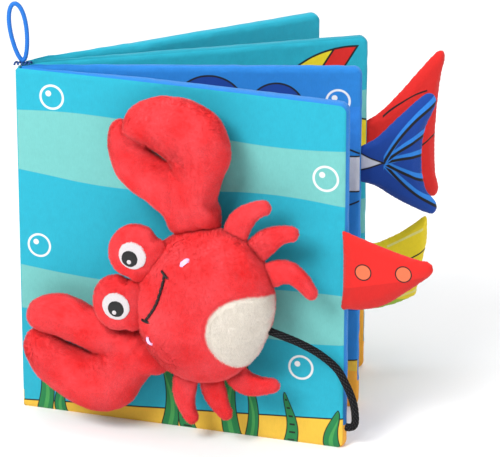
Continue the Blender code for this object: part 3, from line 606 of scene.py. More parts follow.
def puffed(points, faces, cap, pressure):
    """The pad after a short cloth simulation that blows it up, several times its size
    and without weight. No point ends further than the cap from where it began."""
    grown = piece("puffing", points * PUFF_SCALE, faces, PLAIN)
    cloth = grown.modifiers.new("cloth", "CLOTH")
    rules = cloth.settings
    rules.quality = 5
    rules.mass = 0.25
    rules.tension_stiffness = PUFF_STIFFNESS
    rules.compression_stiffness = PUFF_STIFFNESS
    rules.shear_stiffness = PUFF_STIFFNESS / 3
    rules.bending_stiffness = 0.4
    rules.use_pressure = True
    rules.uniform_pressure_force = pressure
    rules.effector_weights.gravity = 0
    cloth.collision_settings.use_collision = False
    scene = bpy.context.scene
    for number in range(1, PUFF_FRAMES + 1):
        scene.frame_set(number)
    seen = grown.evaluated_get(bpy.context.evaluated_depsgraph_get())
    blown = np.empty(len(points) * 3)
    seen.data.vertices.foreach_get("co", blown)
    blown = blown.reshape(-1, 3) / PUFF_SCALE
    scene.frame_set(1)
    bpy.data.objects.remove(grown)
    step = blown - points
    size = np.linalg.norm(step, axis=1)[:, None]
    return points + step * np.minimum(1, cap / np.maximum(size, 1e-12))


ROOT_SQUEEZE = 0.9


def rooted(outline, tuck):
    """An outline whose root runs on past the hinge, into the seam that holds it."""
    outline = outline.copy()
    outline[:, 0] = np.maximum(outline[:, 0], 0)
    root = outline[:, 0] < 0.05 * MM
    outline[root, 0] = -tuck
    outline[root, 1] *= ROOT_SQUEEZE
    return outline


def relaxed(points, faces):
    """Each point drawn halfway to the middle of its neighbours, twice."""
    pairs = np.vstack([faces[:, (k, (k + 1) % 3)] for k in range(3)])
    for _ in range(2):
        total = np.zeros_like(points)
        count = np.zeros(len(points))
        np.add.at(total, pairs[:, 0], points[pairs[:, 1]])
        np.add.at(count, pairs[:, 0], 1)
        points = points + (total / np.maximum(count, 1)[:, None] - points) / 2
    return points


def at_points(mesh):
    """A mesh's points and their normals, as two arrays."""
    at = np.empty(len(mesh.vertices) * 3)
    out = np.empty(len(mesh.vertices) * 3)
    mesh.vertices.foreach_get("co", at)
    mesh.vertex_normals.foreach_get("vector", out)
    return at.reshape(-1, 3), out.reshape(-1, 3)


def rumpled(obj, here, dents, gathers=0, reach=10 * MM):
    """Soft dents over a stuffed piece, and gathers that run away from the seam at its
    root (x = 0 in its own frame) and die out within a reach."""
    mesh = obj.data
    at, out = at_points(mesh)
    x, y, z = within(at, here).T
    seed = sum(map(ord, obj.name))
    dent = 0.65 * noise(x + y, z, 17 * MM, seed) + 0.35 * noise(x - y, z + y, 7 * MM, seed + 1)
    fold = noise(z + 0.4 * y, 0.15 * x, 3.4 * MM, seed + 2) * np.exp(-((x / reach) ** 2))
    at = at + out * (dents * dent + gathers * fold)[:, None]
    mesh.vertices.foreach_set("co", at.ravel())
    mesh.update()


HAIR_WIDTH = 0.24 * MM


def pile(obj, body, density, length, bare=None):
    """Plush hair over a stuffed piece: slivers that stand on its surface and lean the
    way they were brushed, swirling slowly from place to place. Each takes its root's
    colour and the surface's own normal. Where bare(roots) is true none grows."""
    mesh = obj.data
    mesh.calc_loop_triangles()
    count = len(mesh.loop_triangles)
    corners = np.empty(count * 3, int)
    mesh.loop_triangles.foreach_get("loops", corners)
    corners = corners.reshape(-1, 3)
    ends = np.empty(len(mesh.loops), int)
    mesh.loops.foreach_get("vertex_index", ends)
    tris = ends[corners]
    at, out = at_points(mesh)
    a, b, c = at[tris[:, 0]], at[tris[:, 1]], at[tris[:, 2]]
    area = np.linalg.norm(np.cross(b - a, c - a), axis=1) / 2
    chance = np.random.default_rng(len(at))
    hairs = int(area.sum() / MM**2 * density)
    pick = chance.choice(count, hairs, p=area / area.sum())
    u, v = chance.random((2, hairs))
    over = u + v > 1
    u[over], v[over] = 1 - u[over], 1 - v[over]
    share = np.column_stack((1 - u - v, u, v))[..., None]
    root = (at[tris[pick]] * share).sum(1)
    normal = (out[tris[pick]] * share).sum(1)
    cloth = np.empty(len(mesh.loops) * 2)
    mesh.uv_layers["cloth"].data.foreach_get("uv", cloth)
    cloth = (cloth.reshape(-1, 2)[corners[pick]] * share).sum(1)
    front = None
    if "front" in mesh.attributes:
        front = np.empty(len(mesh.vertices))
        mesh.attributes["front"].data.foreach_get("value", front)
        front = (front[tris[pick]] * share[..., 0]).sum(1)
    if bare:
        keep = ~bare(root)
        root, normal, cloth = root[keep], normal[keep], cloth[keep]
        front = front[keep] if front is not None else None
        hairs = len(root)
    normal /= np.linalg.norm(normal, axis=1)[:, None]
    swirl = pi * 0.5 * noise(root[:, 0] + root[:, 1], root[:, 2], 15 * MM, hairs) - 1.2
    brushed = np.column_stack((np.cos(swirl), 0 * swirl, np.sin(swirl)))
    brushed += chance.normal(0, 0.45, (hairs, 3))
    brushed -= normal * (brushed * normal).sum(1)[:, None]
    side = np.cross(normal, brushed)
    side *= HAIR_WIDTH / 2 / np.linalg.norm(side, axis=1)[:, None]
    tall = length * chance.uniform(0.7, 1.2, hairs)[:, None]
    tip = root + tall * (normal * 0.72 + brushed * 0.6)
    foot = root - normal * 0.15 * MM
    points = np.stack((foot + side, foot - side, tip), 1).reshape(-1, 3)
    faces = np.arange(hairs * 3).reshape(-1, 3)
    cloth = np.repeat(cloth, 3, axis=0)
    made = piece(f"{obj.name}_pile", points, faces, mesh.materials[0], cloth)
    grown = made.data
    grown.normals_split_custom_set_from_vertices(np.repeat(normal, 3, axis=0).tolist())
    # The tip attribute runs from 0 at the root to 1 at the tip and drives the plush's painted
    # highlight on the hair tips.
    values = {"tip": np.tile((0, 0, 1), hairs)}
    if front is not None:
        values["front"] = np.repeat(front, 3)
    for label, value in values.items():
        layer = grown.attributes.new(label, "FLOAT", "POINT")
        layer.data.foreach_set("value", value.astype(np.float32))
    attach(made, body)


def finer(obj):
    """Subdivides a piece's mesh once, for good."""
    rounder = obj.modifiers.new("finer", "SUBSURF")
    rounder.levels = rounder.render_levels = 1
    seen = obj.evaluated_get(bpy.context.evaluated_depsgraph_get())
    mesh = bpy.data.meshes.new_from_object(seen)
    obj.modifiers.clear()
    old, obj.data = obj.data, mesh
    bpy.data.meshes.remove(old)
    mesh.name = obj.name


def tube(path, radius, sides, relief=None, closed=False):
    """A round tube along a path. Its rings stand square to the path, turned as
    little as possible from ring to ring, and relief(angle, distance) swells them."""
    path = np.asarray(path, float)
    if closed:
        ahead = np.roll(path, -1, axis=0) - np.roll(path, 1, axis=0)
    else:
        ahead = np.gradient(path, axis=0)
    ahead = ahead / np.linalg.norm(ahead, axis=1)[:, None]
    side = np.cross(ahead[0], (0.3, -1, 0.2))
    first = []
    for tangent in ahead:
        side = side - tangent * (side @ tangent)
        side = side / np.linalg.norm(side)
        first.append(side)
    first = np.array(first)
    second = np.cross(ahead, first)
    turns = 2 * pi * np.arange(sides) / sides
    steps = np.linalg.norm(np.diff(path, axis=0), axis=1)
    run = np.concatenate(((0,), np.cumsum(steps)))
    angle, along = np.meshgrid(turns, run)
    reach = np.full_like(angle, radius) if relief is None else radius * relief(angle, along)
    ring = first[:, None] * np.cos(angle)[..., None] + second[:, None] * np.sin(angle)[..., None]
    points = (path[:, None] + ring * reach[..., None]).reshape(-1, 3)
    return points, grid_faces(len(path), sides, closed, True), (angle.ravel(), along.ravel())


PLAIN = bpy.data.materials.new("plain")


def sea(art, bands, sand, weeds, bubbles, under="orange"):
    """A plain sea print: paler wavy bands of water, bubbles, weed, and a sandy floor
    that runs straight from one height at the root to another at the fore edge."""
    for low, high, colour, phase in bands:
        top = art.wave(high * MM, 3.5 * MM, 230 * MM, phase)
        foot = art.wave(low * MM, 3 * MM, 170 * MM, phase + 2)
        art.fill(art.less(top, foot), colour)
    for x, z, radius in bubbles:
        art.bubble(x * MM, z * MM, radius * MM)
    for x, height, bend, width in weeds:
        art.weed(x * MM, height * MM, bend * MM, width * MM)
    near, far = sand
    floor = art.line((0, near * MM), (185 * MM, far * MM))
    art.fill(floor, "sand")
    if under:
        top = art.wave((near + far) / 2 * MM - 5 * MM, 2 * MM, 75 * MM)
        art.fill(art.both(floor, top), under)
    art.stroke(floor, 0.8 * MM)


def front_cover_print(art):
    """The front cover's print: two pale bands, bubbles and a row of weed."""
    sea(
        art,
        ((137, 170, "pale", 0.6), (61, 84, "pale", 3.2)),
        (4, 17),
        (),
        (
            (20, 181, 6.4), (11, 96, 6.2), (173, 152, 6.6), (160, 44, 6.4), (84, 176, 4),
            (104, 168, 2.6),
        ),
        under=None,
    )
    for x, height, bend, width, ribs in (
        (11, 50, 3, 4.4, False), (23, 27, -2, 3.6, False), (84, 50, 3, 4.6, False),
        (97, 42, -3, 4.6, True), (122, 62, -3, 5, False), (131, 47, 2.4, 3.4, False),
        (153, 32, 2.4, 3.8, True), (179, 25, -2, 5, False),
    ):
        art.weed(x * MM, height * MM, bend * MM, width * MM, -4 * MM, ribs)


def finned(art, x, z, size):
    """A curved fin: a circle less another one that cuts in from its right."""
    near = art.circle(x * MM, z * MM, size * MM)
    far = art.circle((x + size * 0.75) * MM, (z - size * 0.45) * MM, size * MM)
    art.outlined(art.less(near, far), "navy", MM)


def fish(art, x, z, length, height, colour):
    """A fish's body in millimetres: the lens where two large circles meet."""
    radius = (length**2 + height**2) / (2 * height)
    above = art.circle(x * MM, (z + height - radius) * MM, radius * MM)
    below = art.circle(x * MM, (z - height + radius) * MM, radius * MM)
    body = art.both(above, below)
    art.outlined(body, colour, MM)
    return body


def eye(art, x, z):
    """A fish's eye, which looks towards the root."""
    art.fill(art.circle(x * MM, z * MM, 3.2 * MM), "white")
    art.fill(art.circle((x - 0.6) * MM, z * MM, 1.7 * MM), "ink")


def leaf_2_print(art):
    """Leaf 2's print: a blue fish with two dark fins."""
    sea(
        art,
        ((150, 176, "sky", 0.8), (60, 92, "royal", 2.2)),
        (22, 28),
        ((36, 44, 3, 3), (48, 30, -2.4, 2.4), (120, 40, 3, 3)),
        ((169, 177, 6.2), (60, 120, 5), (130, 90, 4)),
    )
    finned(art, 100, 171, 20)
    finned(art, 136, 172, 15)
    body = fish(art, 130, 134, 75, 24, "blue")
    # The pale belly that runs on into the tail.
    belly = art.both(art.less(art.wave(146 * MM), art.wave(126 * MM)), body)
    art.outlined(art.both(belly, art.past(88 * MM)), "grey", 0.9 * MM)
    eye(art, 73, 138)


def leaf_3_print(art):
    """Leaf 3's print: a yellow fish under a striped fin."""
    sea(
        art,
        ((146, 168, "pale", 0.2), (84, 100, "pale", 1.6)),
        (36, 44),
        ((30, 60, 3, 3), (60, 72, -3, 3), (150, 66, 2.4, 2.6)),
        ((52, 150, 5), (96, 120, 4)),
    )
    # A striped fin in the upper fore corner: slanting bands under one round edge.
    rim = art.less(art.circle(181 * MM, 136 * MM, 55 * MM), art.wave(132 * MM))
    bands = ((120, "red"), (133, "yellow"), (155, "red"), (168, None))
    for (start, colour), (end, _) in zip(bands, bands[1:]):
        left = art.line((start * MM, 165 * MM), ((start + 20) * MM, 195 * MM))
        right = art.line((end * MM, 165 * MM), ((end + 20) * MM, 195 * MM))
        art.outlined(art.both(art.less(left, right), rim), colour, 1.1 * MM)
    # The yellow body that shows past the next leaf's fore edge.
    fish(art, 160, 132, 60, 21, "yellow")
    eye(art, 115, 134)


def back_cover_print(art):
    """The back cover's print: pale bands, bubbles and a row of weed."""
    sea(
        art,
        ((132, 158, "pale", 1.2), (64, 92, "pale", 2.6)),
        (12, 12),
        (
            (26, 52, 3, 3), (37, 34, -2.4, 2.6), (110, 44, 3, 3), (146, 60, -3.4, 3.2),
            (156, 38, 2.4, 2.6),
        ),
        ((34, 168, 6.4), (66, 118, 5), (150, 172, 6), (124, 100, 4.4), (164, 120, 3)),
    )


def plain_sea_print(art):
    """An inside print in the covers' colours."""
    sea(
        art,
        ((120, 150, "pale", 2), (40, 70, "pale", 0.6)),
        (12, 12),
        ((40, 46, 3, 3), (52, 30, -2.4, 2.4), (140, 52, 3, 3)),
        ((50, 150, 6), (110, 100, 4.6), (150, 160, 5)),
    )


def blue_sea_print(art):
    """An inside print in blues."""
    sea(
        art,
        ((130, 156, "sky", 1), (50, 80, "royal", 2.6)),
        (14, 14),
        ((40, 46, 3, 3), (120, 34, -2.4, 2.6), (132, 52, 3, 3)),
        ((40, 160, 6), (100, 120, 4.6), (150, 90, 5)),
    )


# Each leaf's front ground and print, back ground and print, boxed edge's colour, and
# the cloth that the boxed edge belongs to.
LEAF_LOOKS = {
    "front_cover": ("cyan", front_cover_print, "blue", blue_sea_print, "blue", "back"),
    "leaf_2": ("blue", leaf_2_print, "cyan", plain_sea_print, "blue", "back"),
    "leaf_3": ("cyan", leaf_3_print, "cyan", plain_sea_print, "teal", "front"),
    "back_cover": ("cyan", plain_sea_print, "teal", back_cover_print, "cyan", "front"),
}


CORNER_COLUMNS = 12
COVER_SAG = 2.4 * MM


def leaf_grid(name, columns, rows):
    """Places along and up a leaf, with columns that shorten round its two fore
    corners. The front cover's upper edge sags a little towards its fore corner."""
    width = LEAVES[name][0]
    turns = np.linspace(0, pi / 2, CORNER_COLUMNS + 1)[1:]
    straight = np.linspace(0, width - LEAF_CORNER, columns - CORNER_COLUMNS)
    x = np.concatenate((straight, width - LEAF_CORNER * (1 - np.sin(turns))))
    drop = np.concatenate((0 * straight, LEAF_CORNER * (1 - np.cos(turns))))
    v = np.linspace(-1, 1, rows)
    grid_x = np.repeat(x[:, None], rows, 1)
    grid_z = LEAF_HEIGHT / 2 + v[None] * (LEAF_HEIGHT / 2 - drop[:, None])
    if name == "front_cover":
        grid_z = grid_z - COVER_SAG * (grid_x / width) ** 2 * (grid_z / LEAF_HEIGHT) ** 3
    return grid_x, grid_z


def leaf_face(name, x, z, side, folds, puckers):
    """Through-the-leaf place of one face (side -1 front, 1 back): the taper at the
    root, the crown, a roll at the edge, slow folds, and puckers along the seams."""
    width, thickness, _, share = LEAVES[name]
    swell = (thickness - LEAF_ROOT) * (share if side < 0 else 1 - share)
    crown = LEAF_CROWN * 4 * (x / width) * (1 - x / width) * (1 - (2 * z / LEAF_HEIGHT - 1) ** 2)
    rise = LEAF_ROOT / 2 + swell * ease(x / LEAF_TAPER) + crown
    fore = width - x
    edge = np.minimum(fore, np.minimum(z, LEAF_HEIGHT - z))
    roll = 2.6 * MM
    away = np.clip(1 - edge / roll, 0, 1)
    rise = rise - 0.9 * MM * (1 - np.sqrt(1 - away**2))
    seed = sum(map(ord, name)) + (side > 0)
    room = ease(x / (20 * MM)) * ease(edge / (9 * MM))
    slow = 0.7 * noise(x, z * 0.6, 34 * MM, seed) + 0.3 * noise(x * 1.3, z, 15 * MM, seed + 1)
    rise = rise + folds * slow * room
    around = np.where(fore < np.minimum(z, LEAF_HEIGHT - z), z, x)
    gather = noise(around, edge * 0.25, 4.2 * MM, seed + 2)
    gather = gather + 0.6 * noise(around, edge * 0.3, 9 * MM, seed + 3)
    near = np.exp(-edge / (7 * MM)) * ease(edge / (2 * MM))
    rise = rise + puckers * gather * near * ease(x / (12 * MM))
    return side * rise


def build_leaf(name, look, settings):
    """One padded leaf as a closed pad: a printed front, a printed back and a boxed
    edge that swells between its two seams."""
    ground, draw, back_ground, back_draw, wall_ground, wall_cloth = look
    columns, rows = 156, 156
    x, z = leaf_grid(name, columns, rows)
    front = leaf_face(name, x, z, -1, settings.folds, settings.puckers)
    back = leaf_face(name, x, z, 1, settings.folds, settings.puckers)
    here = leaf_frame(name)

    # The rim, once round: up the root, along the top, down the fore edge and back.
    rim = np.concatenate((
        np.arange(rows),
        np.arange(1, columns) * rows + rows - 1,
        (columns - 1) * rows + np.arange(rows - 2, -1, -1),
        np.arange(columns - 2, 0, -1) * rows,
    ))
    flat = np.stack((x, z), -1).reshape(-1, 2)[rim]
    ahead = np.roll(flat, -1, axis=0) - np.roll(flat, 1, axis=0)
    outward = np.column_stack((-ahead[:, 1], ahead[:, 0]))
    outward = outward / np.maximum(np.linalg.norm(outward, axis=1), 1e-9)[:, None]
    at_front, at_back = front.reshape(-1)[rim], back.reshape(-1)[rim]
    steps = 9
    deep = np.linspace(0, 1, steps)
    loose = ease(flat[:, 0] / (10 * MM))
    wall = []
    seed = sum(map(ord, name)) * 3
    run = np.concatenate(((0,), np.cumsum(np.linalg.norm(np.diff(flat, axis=0), axis=1))))
    for share in deep:
        swell = settings.edge_swell * sin(pi * share) ** 0.7
        gather = 0.25 * MM * noise(run, share * 9 * MM, 5 * MM, seed) * sin(pi * share)
        pinch = np.exp(-(share / 0.09) ** 2) + np.exp(-((share - 1) / 0.09) ** 2)
        out = (swell + gather - 0.35 * MM * pinch) * loose
        y = at_front + (at_back - at_front) * share
        stood = flat + outward * out[:, None]
        wall.append(np.column_stack((stood[:, 0], y, stood[:, 1])))
    wall = np.array(wall)
    wall[..., 2] = np.maximum(wall[..., 2], 0)
    sheet = grid_faces(columns, rows, flip=True)
    for side, y, faces, colour, picture, filling in (
        ("front", front, sheet, ground, draw, "crinkle_film"),
        ("back", back, sheet[:, ::-1], back_ground, back_draw, "wadding"),
    ):
        points = np.stack((x, y, z), -1).reshape(-1, 3)
        made = piece(
            f"{name}_{side}_panel", moved(points, here), faces,
            printed_cloth(f"{name}_{side}_printed_polyester", colour, picture),
            points[:, (0, 2)],
        )
        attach(made, name)
        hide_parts(f"{name}_{side}_cloth", f"{name}_{filling}")
    low = 2 * LEAF_HEIGHT + LEAVES[name][0] - 17 * MM

    def edge_print(art):
        """The sand along the leaf's foot, which comes last round the rim."""
        art.fill(art.past(low), "orange")

    count = len(rim)
    edge = piece(
        f"{name}_boxed_edge", moved(wall.reshape(-1, 3), here),
        grid_faces(steps, count, round_columns=True)[:, ::-1],
        printed_cloth(f"{name}_edge_polyester", wall_ground, edge_print),
        np.column_stack((np.tile(run, steps), np.repeat(deep * 7 * MM, count))),
    )
    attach(edge, name)


# The camera's tilt below level, the spine's foot in its view (right and up, in
# metres), and its focal length in pixels of a picture of the width below.
CAMERA_TILT = radians(20.11)
FOOT_IN_VIEW = (-0.1248, -0.0979)
FOCAL_PIXELS = 3339
PICTURE_WIDTH = 500
SENSOR_WIDTH = 36


def build_studio(settings):
    """The floor, a soft white room, three large soft lights and the camera, which
    stands where the photograph was taken from. The floor is flat for 3 m all round
    and then rises with the square of the distance, as a wide bowl."""
    scene = bpy.context.scene
    scene.view_settings.view_transform = "Standard"
    scene.view_settings.look = "None"
    world = bpy.data.worlds.new("studio")
    world.use_nodes = True
    sky = world.node_tree.nodes["Background"]
    sky.inputs["Color"].default_value = (1, 1, 1, 1)
    seen = add(world.node_tree, "LightPath")
    room = figure(world.node_tree, "MULTIPLY_ADD", seen, 1 - settings.sky, settings.sky)
    world.node_tree.links.new(room, sky.inputs["Strength"])
    scene.world = world

    sweep, tree, shader = blank("pale_floor")
    set_inputs(shader, {
        "Base Color": (0.93, 0.93, 0.935, 1), "Roughness": 0.7,
        "Emission Color": (1, 1, 1, 1),
    })
    grain = add(tree, "TexNoise", add(tree, "TexCoord", out=3), None, 60, 2)
    raise_surface(tree, shader, 0.05, 0.2 * MM, grain)
    # Past 0.9 m from the object the floor shows as plain white, from any side.
    far = add(tree, "VectorMath", add(tree, "TexCoord", out=3), operation="LENGTH", out=1)
    glow = figure(tree, "MULTIPLY_ADD", far, 1.2, -1.08, clamp=True)
    glow = figure(tree, "MULTIPLY", glow, add(tree, "LightPath"))
    tree.links.new(glow, shader.inputs["Emission Strength"])
    cells = 61
    x, y = np.meshgrid(np.linspace(-9, 9, cells), np.linspace(-9, 9, cells), indexing="ij")
    z = 0.05 * np.maximum(np.hypot(x, y) - 3, 0) ** 2
    points = np.stack((x, y, z), -1).reshape(-1, 3)
    floor = piece("studio_floor", points, grid_faces(cells, cells, flip=True), sweep)

    for name, place, size, power, colour in (
        ("key_light", (-0.9, -1.1, 1.3), 0.9, settings.key, (1, 0.99, 0.97)),
        ("fill_light", (1.2, -0.9, 0.9), 1.2, settings.fill, (0.97, 0.98, 1)),
        ("top_light", (0.1, 0.3, 1.6), 1.2, settings.top, (1, 1, 1)),
    ):
        lamp = bpy.data.lights.new(name, "AREA")
        lamp.shape = "DISK"
        lamp.size = size
        lamp.energy = power
        lamp.color = colour
        holder = bpy.data.objects.new(name, lamp)
        holder.location = place
        aim = Vector((0, 0, 0.1)) - Vector(place)
        holder.rotation_euler = aim.to_track_quat("-Z", "Y").to_euler()
        scene.collection.objects.link(holder)

    right, rise = FOOT_IN_VIEW
    up = np.array((0, sin(CAMERA_TILT), cos(CAMERA_TILT)))
    ahead = np.array((0, cos(CAMERA_TILT), -sin(CAMERA_TILT)))
    shot = np.array((right, 0, 0)) + up * rise + ahead * settings.distance
    lens = bpy.data.cameras.new("camera")
    lens.lens = FOCAL_PIXELS / PICTURE_WIDTH * SENSOR_WIDTH
    lens.sensor_width = SENSOR_WIDTH
    lens.clip_start = 0.05
    camera = bpy.data.objects.new("camera", lens)
    camera.location = FOOT - shot
    camera.rotation_euler = (pi / 2 - CAMERA_TILT, 0, 0)
    scene.collection.objects.link(camera)
    scene.camera = camera


def braid(angle, along):
    """Relief of a round braid: two families of strands that wind opposite ways, each
    crossing raised where the other dips."""
    wind = along * 2 * pi / (3.1 * MM)
    one, two = 8 * angle + wind, 8 * angle - wind
    over = np.cos((one + two) / 2)
    return 0.95 + 0.05 * np.where(over > 0, np.cos(one), np.cos(two))


TETHER_SPACING = 0.35 * MM
TETHER_SIDES = 40


def build_tether(settings):
    """The braided cord from the crab's seam to the front cover's fore-edge seam."""
    route = [(x * MM, -LEAF_ROOT / 2 - proud * MM, z * MM) for x, proud, z in TETHER_ROUTE]
    path = smooth_line(route, TETHER_SPACING)
    lead = (path[0] - path[12]) / np.linalg.norm(path[0] - path[12])
    steps = np.arange(14, 0, -1)[:, None] * TETHER_SPACING
    path = moved(np.vstack((path[0] + lead * steps, path)), leaf_frame("front_cover"))
    points, faces, (angle, along) = tube(
        path, settings.diameter / 2 / 0.985, TETHER_SIDES, braid,
    )
    count = len(points)
    ring = np.arange(TETHER_SIDES)
    after, last = np.roll(ring, -1), count - TETHER_SIDES
    caps = np.vstack((
        np.column_stack((0 * ring + count, after, ring)),
        np.column_stack((0 * ring + count + 1, ring + last, after + last)),
    ))
    points = np.vstack((points, path[:1], path[-1:]))
    material, tree, shader = blank("black_braided_polyester")
    # Painted highlights: the tops of the braid's strands, kept in the cloth map's first place, are
    # painted grey over the black, as light caught on the crossings.
    _, lifted, _ = cloth_place(tree)
    weave = figure(tree, "MULTIPLY_ADD", lifted, 36, -2.4, clamp=True)
    base = mixed(tree, weave, (0.002, 0.002, 0.003), (0.055, 0.055, 0.06))
    tree.links.new(base, shader.inputs["Base Color"])
    set_inputs(shader, {"Roughness": 0.75, "Specular IOR Level": 0.12})
    # How high each point lies on its strand, for the painted highlights on the strand tops.
    lift = np.append(braid(angle, along), (0.9, 0.9)) - 0.9
    cloth = np.column_stack((lift, np.append(along, (0, 0))))
    made = piece("tether_braid", points, faces.tolist() + caps.tolist(), material, cloth)
    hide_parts("tether_cord")
    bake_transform(made)


LOOP_CORD = 2.4 * MM
LOOP_WIDTH = 11 * MM
LOOP_HEIGHT = 34 * MM


def build_loop():
    """The hanging loop of woven cord, and the five stitches that hold it."""
    hinge = np.array(joint("swing_hanging_loop")["pos_m"])
    turns = 2 * pi * np.arange(90) / 90
    across = (LOOP_WIDTH - LOOP_CORD) / 2 * np.sin(turns) * (1 - 0.2 * np.cos(turns))
    up = (LOOP_HEIGHT - LOOP_CORD) * (1 - np.cos(turns)) / 2
    lean = radians(-7)
    bow = np.column_stack((
        across * cos(lean) + up * sin(lean), 0 * turns, -across * sin(lean) + up * cos(lean),
    )) + hinge

    def woven(angle, along):
        """Relief of a weave: ribs that cross both ways round the cord."""
        wind = along * 2 * pi / LOOP_CORD
        return 0.97 + 0.06 * np.cos(6 * angle + wind) * np.cos(6 * angle - wind)

    path = smooth_line(bow, 0.5 * MM, closed=True)
    points, faces, (angle, along) = tube(path, LOOP_CORD / 2, 24, woven, closed=True)
    cloth = np.column_stack((angle * LOOP_CORD / 2, along))
    made = piece(
        "hanging_loop_cord", points, faces, threads("blue_woven_cord", "cord", 2600, 0.6), cloth
    )
    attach(made, "hanging_loop")
    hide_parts("hanging_loop")

    low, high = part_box("loop_bartack")
    middle = (np.array(low) + np.array(high)) / 2
    stitches = []
    for number in range(5):
        x = middle[0] + (number - 2) * 1.9 * MM
        turn = np.linspace(-1, 1, 13)[:, None]
        arc = np.hstack((
            x + turn * 0.8 * MM, middle[1] + turn * 1.7 * MM,
            middle[2] + 0.75 * MM - 1.1 * MM * turn**4,
        ))
        stitches.append(tube(arc, 0.55 * MM, 10)[:2])
    bar = piece(
        "loop_bar_stitches", *merged(stitches), threads("dark_blue_thread", "bar", 2600, 0.5)
    )
    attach(bar, "spine")
    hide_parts("loop_bartack")


def build_hinge(cover, sign, margin, material):
    """The cloth of a cover's hinge: a thin fold from the spine's band round the cover's
    outer corner into its root, which bends as the cover turns."""
    hinge = np.array(joint(f"open_{cover}")["pos_m"])[:2]
    run = sign * np.array((cos(SPINE_ANGLE), sin(SPINE_ANGLE)))
    inward = np.array((sin(SPINE_ANGLE), -cos(SPINE_ANGLE)))
    angle = LEAVES[cover][2]
    into = np.array((cos(angle), sin(angle)))
    inner = sign * np.array((-sin(angle), cos(angle)))
    line = smooth_line(hinge + np.array((
        run * (margin + 0.9 * MM) + inward * 0.5 * MM,
        run * (margin + 0.1 * MM) + inward * 0.15 * MM,
        run * margin / 2,
        run * 0.1 * MM,
        into * 0.5 * MM + inner * 0.3 * MM,
        into * 1.8 * MM + inner * 0.5 * MM,
    )), 0.25 * MM)
    ahead = np.gradient(line, axis=0)
    ahead = ahead / np.linalg.norm(ahead, axis=1)[:, None]
    side = np.column_stack((-ahead[:, 1], ahead[:, 0])) * 0.14 * MM
    ring = np.vstack((line + side, (line - side)[::-1]))
    heights = np.linspace(0.8 * MM, LEAF_HEIGHT - 0.8 * MM, 60)
    count, rows = len(ring), len(heights)
    points = np.column_stack((np.tile(ring, (rows, 1)), np.repeat(heights, count)))
    faces = grid_faces(rows, count, round_columns=True, flip=True)
    a = np.arange(count // 2 - 1)
    foot = np.stack((a, a + 1, count - 2 - a, count - 1 - a), -1)
    head = foot[:, ::-1] + (rows - 1) * count
    made = piece(
        f"{cover}_hinge_cloth", points, np.vstack((faces, foot, head)), material,
        np.column_stack((np.tile(np.arange(count) * 0.25 * MM, rows), points[:, 2])),
    )
    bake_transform(made)


def build_spine():
    """The spine's two cloths, each a soft band with a gathered surface over the
    leaves' roots, and the covers' two hinge cloths."""
    end = LEAF_ROOT + 3 * LEAF_PITCH
    crease = end / 2
    halves = {
        "front": ("leaf_2", SPINE_FRONT_MARGIN, crease - 0.2 * MM),
        "back": ("leaf_3", crease + 0.2 * MM, end - SPINE_BACK_MARGIN),
    }
    material = printed_cloth(
        "spine_printed_polyester", "cyan", lambda art: art.fill(art.wave(10 * MM), "sand")
    )
    rows, columns = 160, 16
    ring = np.arange(columns)
    turns = 2 * pi * ring / columns
    z = np.linspace(0, LEAF_HEIGHT, rows)
    round_x = np.sign(np.cos(turns)) * np.abs(np.cos(turns)) ** 0.5
    round_y = np.sign(np.sin(turns)) * np.abs(np.sin(turns)) ** 0.8
    tuck = np.ones(rows)
    tuck[0] = tuck[-1] = 0.75
    faces = grid_faces(rows, columns, round_columns=True).tolist()
    faces += [ring[::-1].tolist(), (ring + (rows - 1) * columns).tolist()]
    for label, (body, start, stop) in halves.items():
        half = (stop - start) / 2
        points = []
        for height, share in zip(z, tuck):
            along = (start + stop) / 2 + half * round_x * share
            bulge = 0.12 * MM * noise(along * 3, np.full(columns, height), 6 * MM, 40)
            across = SPINE_CLOTH / 2 * (1 - round_y * share) - bulge * (round_y > 0)
            points.append(spine_point(across, along, height))
        points = np.vstack(points)
        cloth = np.column_stack((np.tile(turns * 2 * MM, rows), points[:, 2]))
        made = piece(f"spine_{label}_band", points, faces, material, cloth)
        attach(made, body)
        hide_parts(f"spine_cloth_{label}")
    build_hinge("front_cover", 1, SPINE_FRONT_MARGIN, material)
    build_hinge("back_cover", -1, SPINE_BACK_MARGIN, material)


TAIL_THICKNESS = 5.4 * MM
TAIL_TUCK = 3 * MM

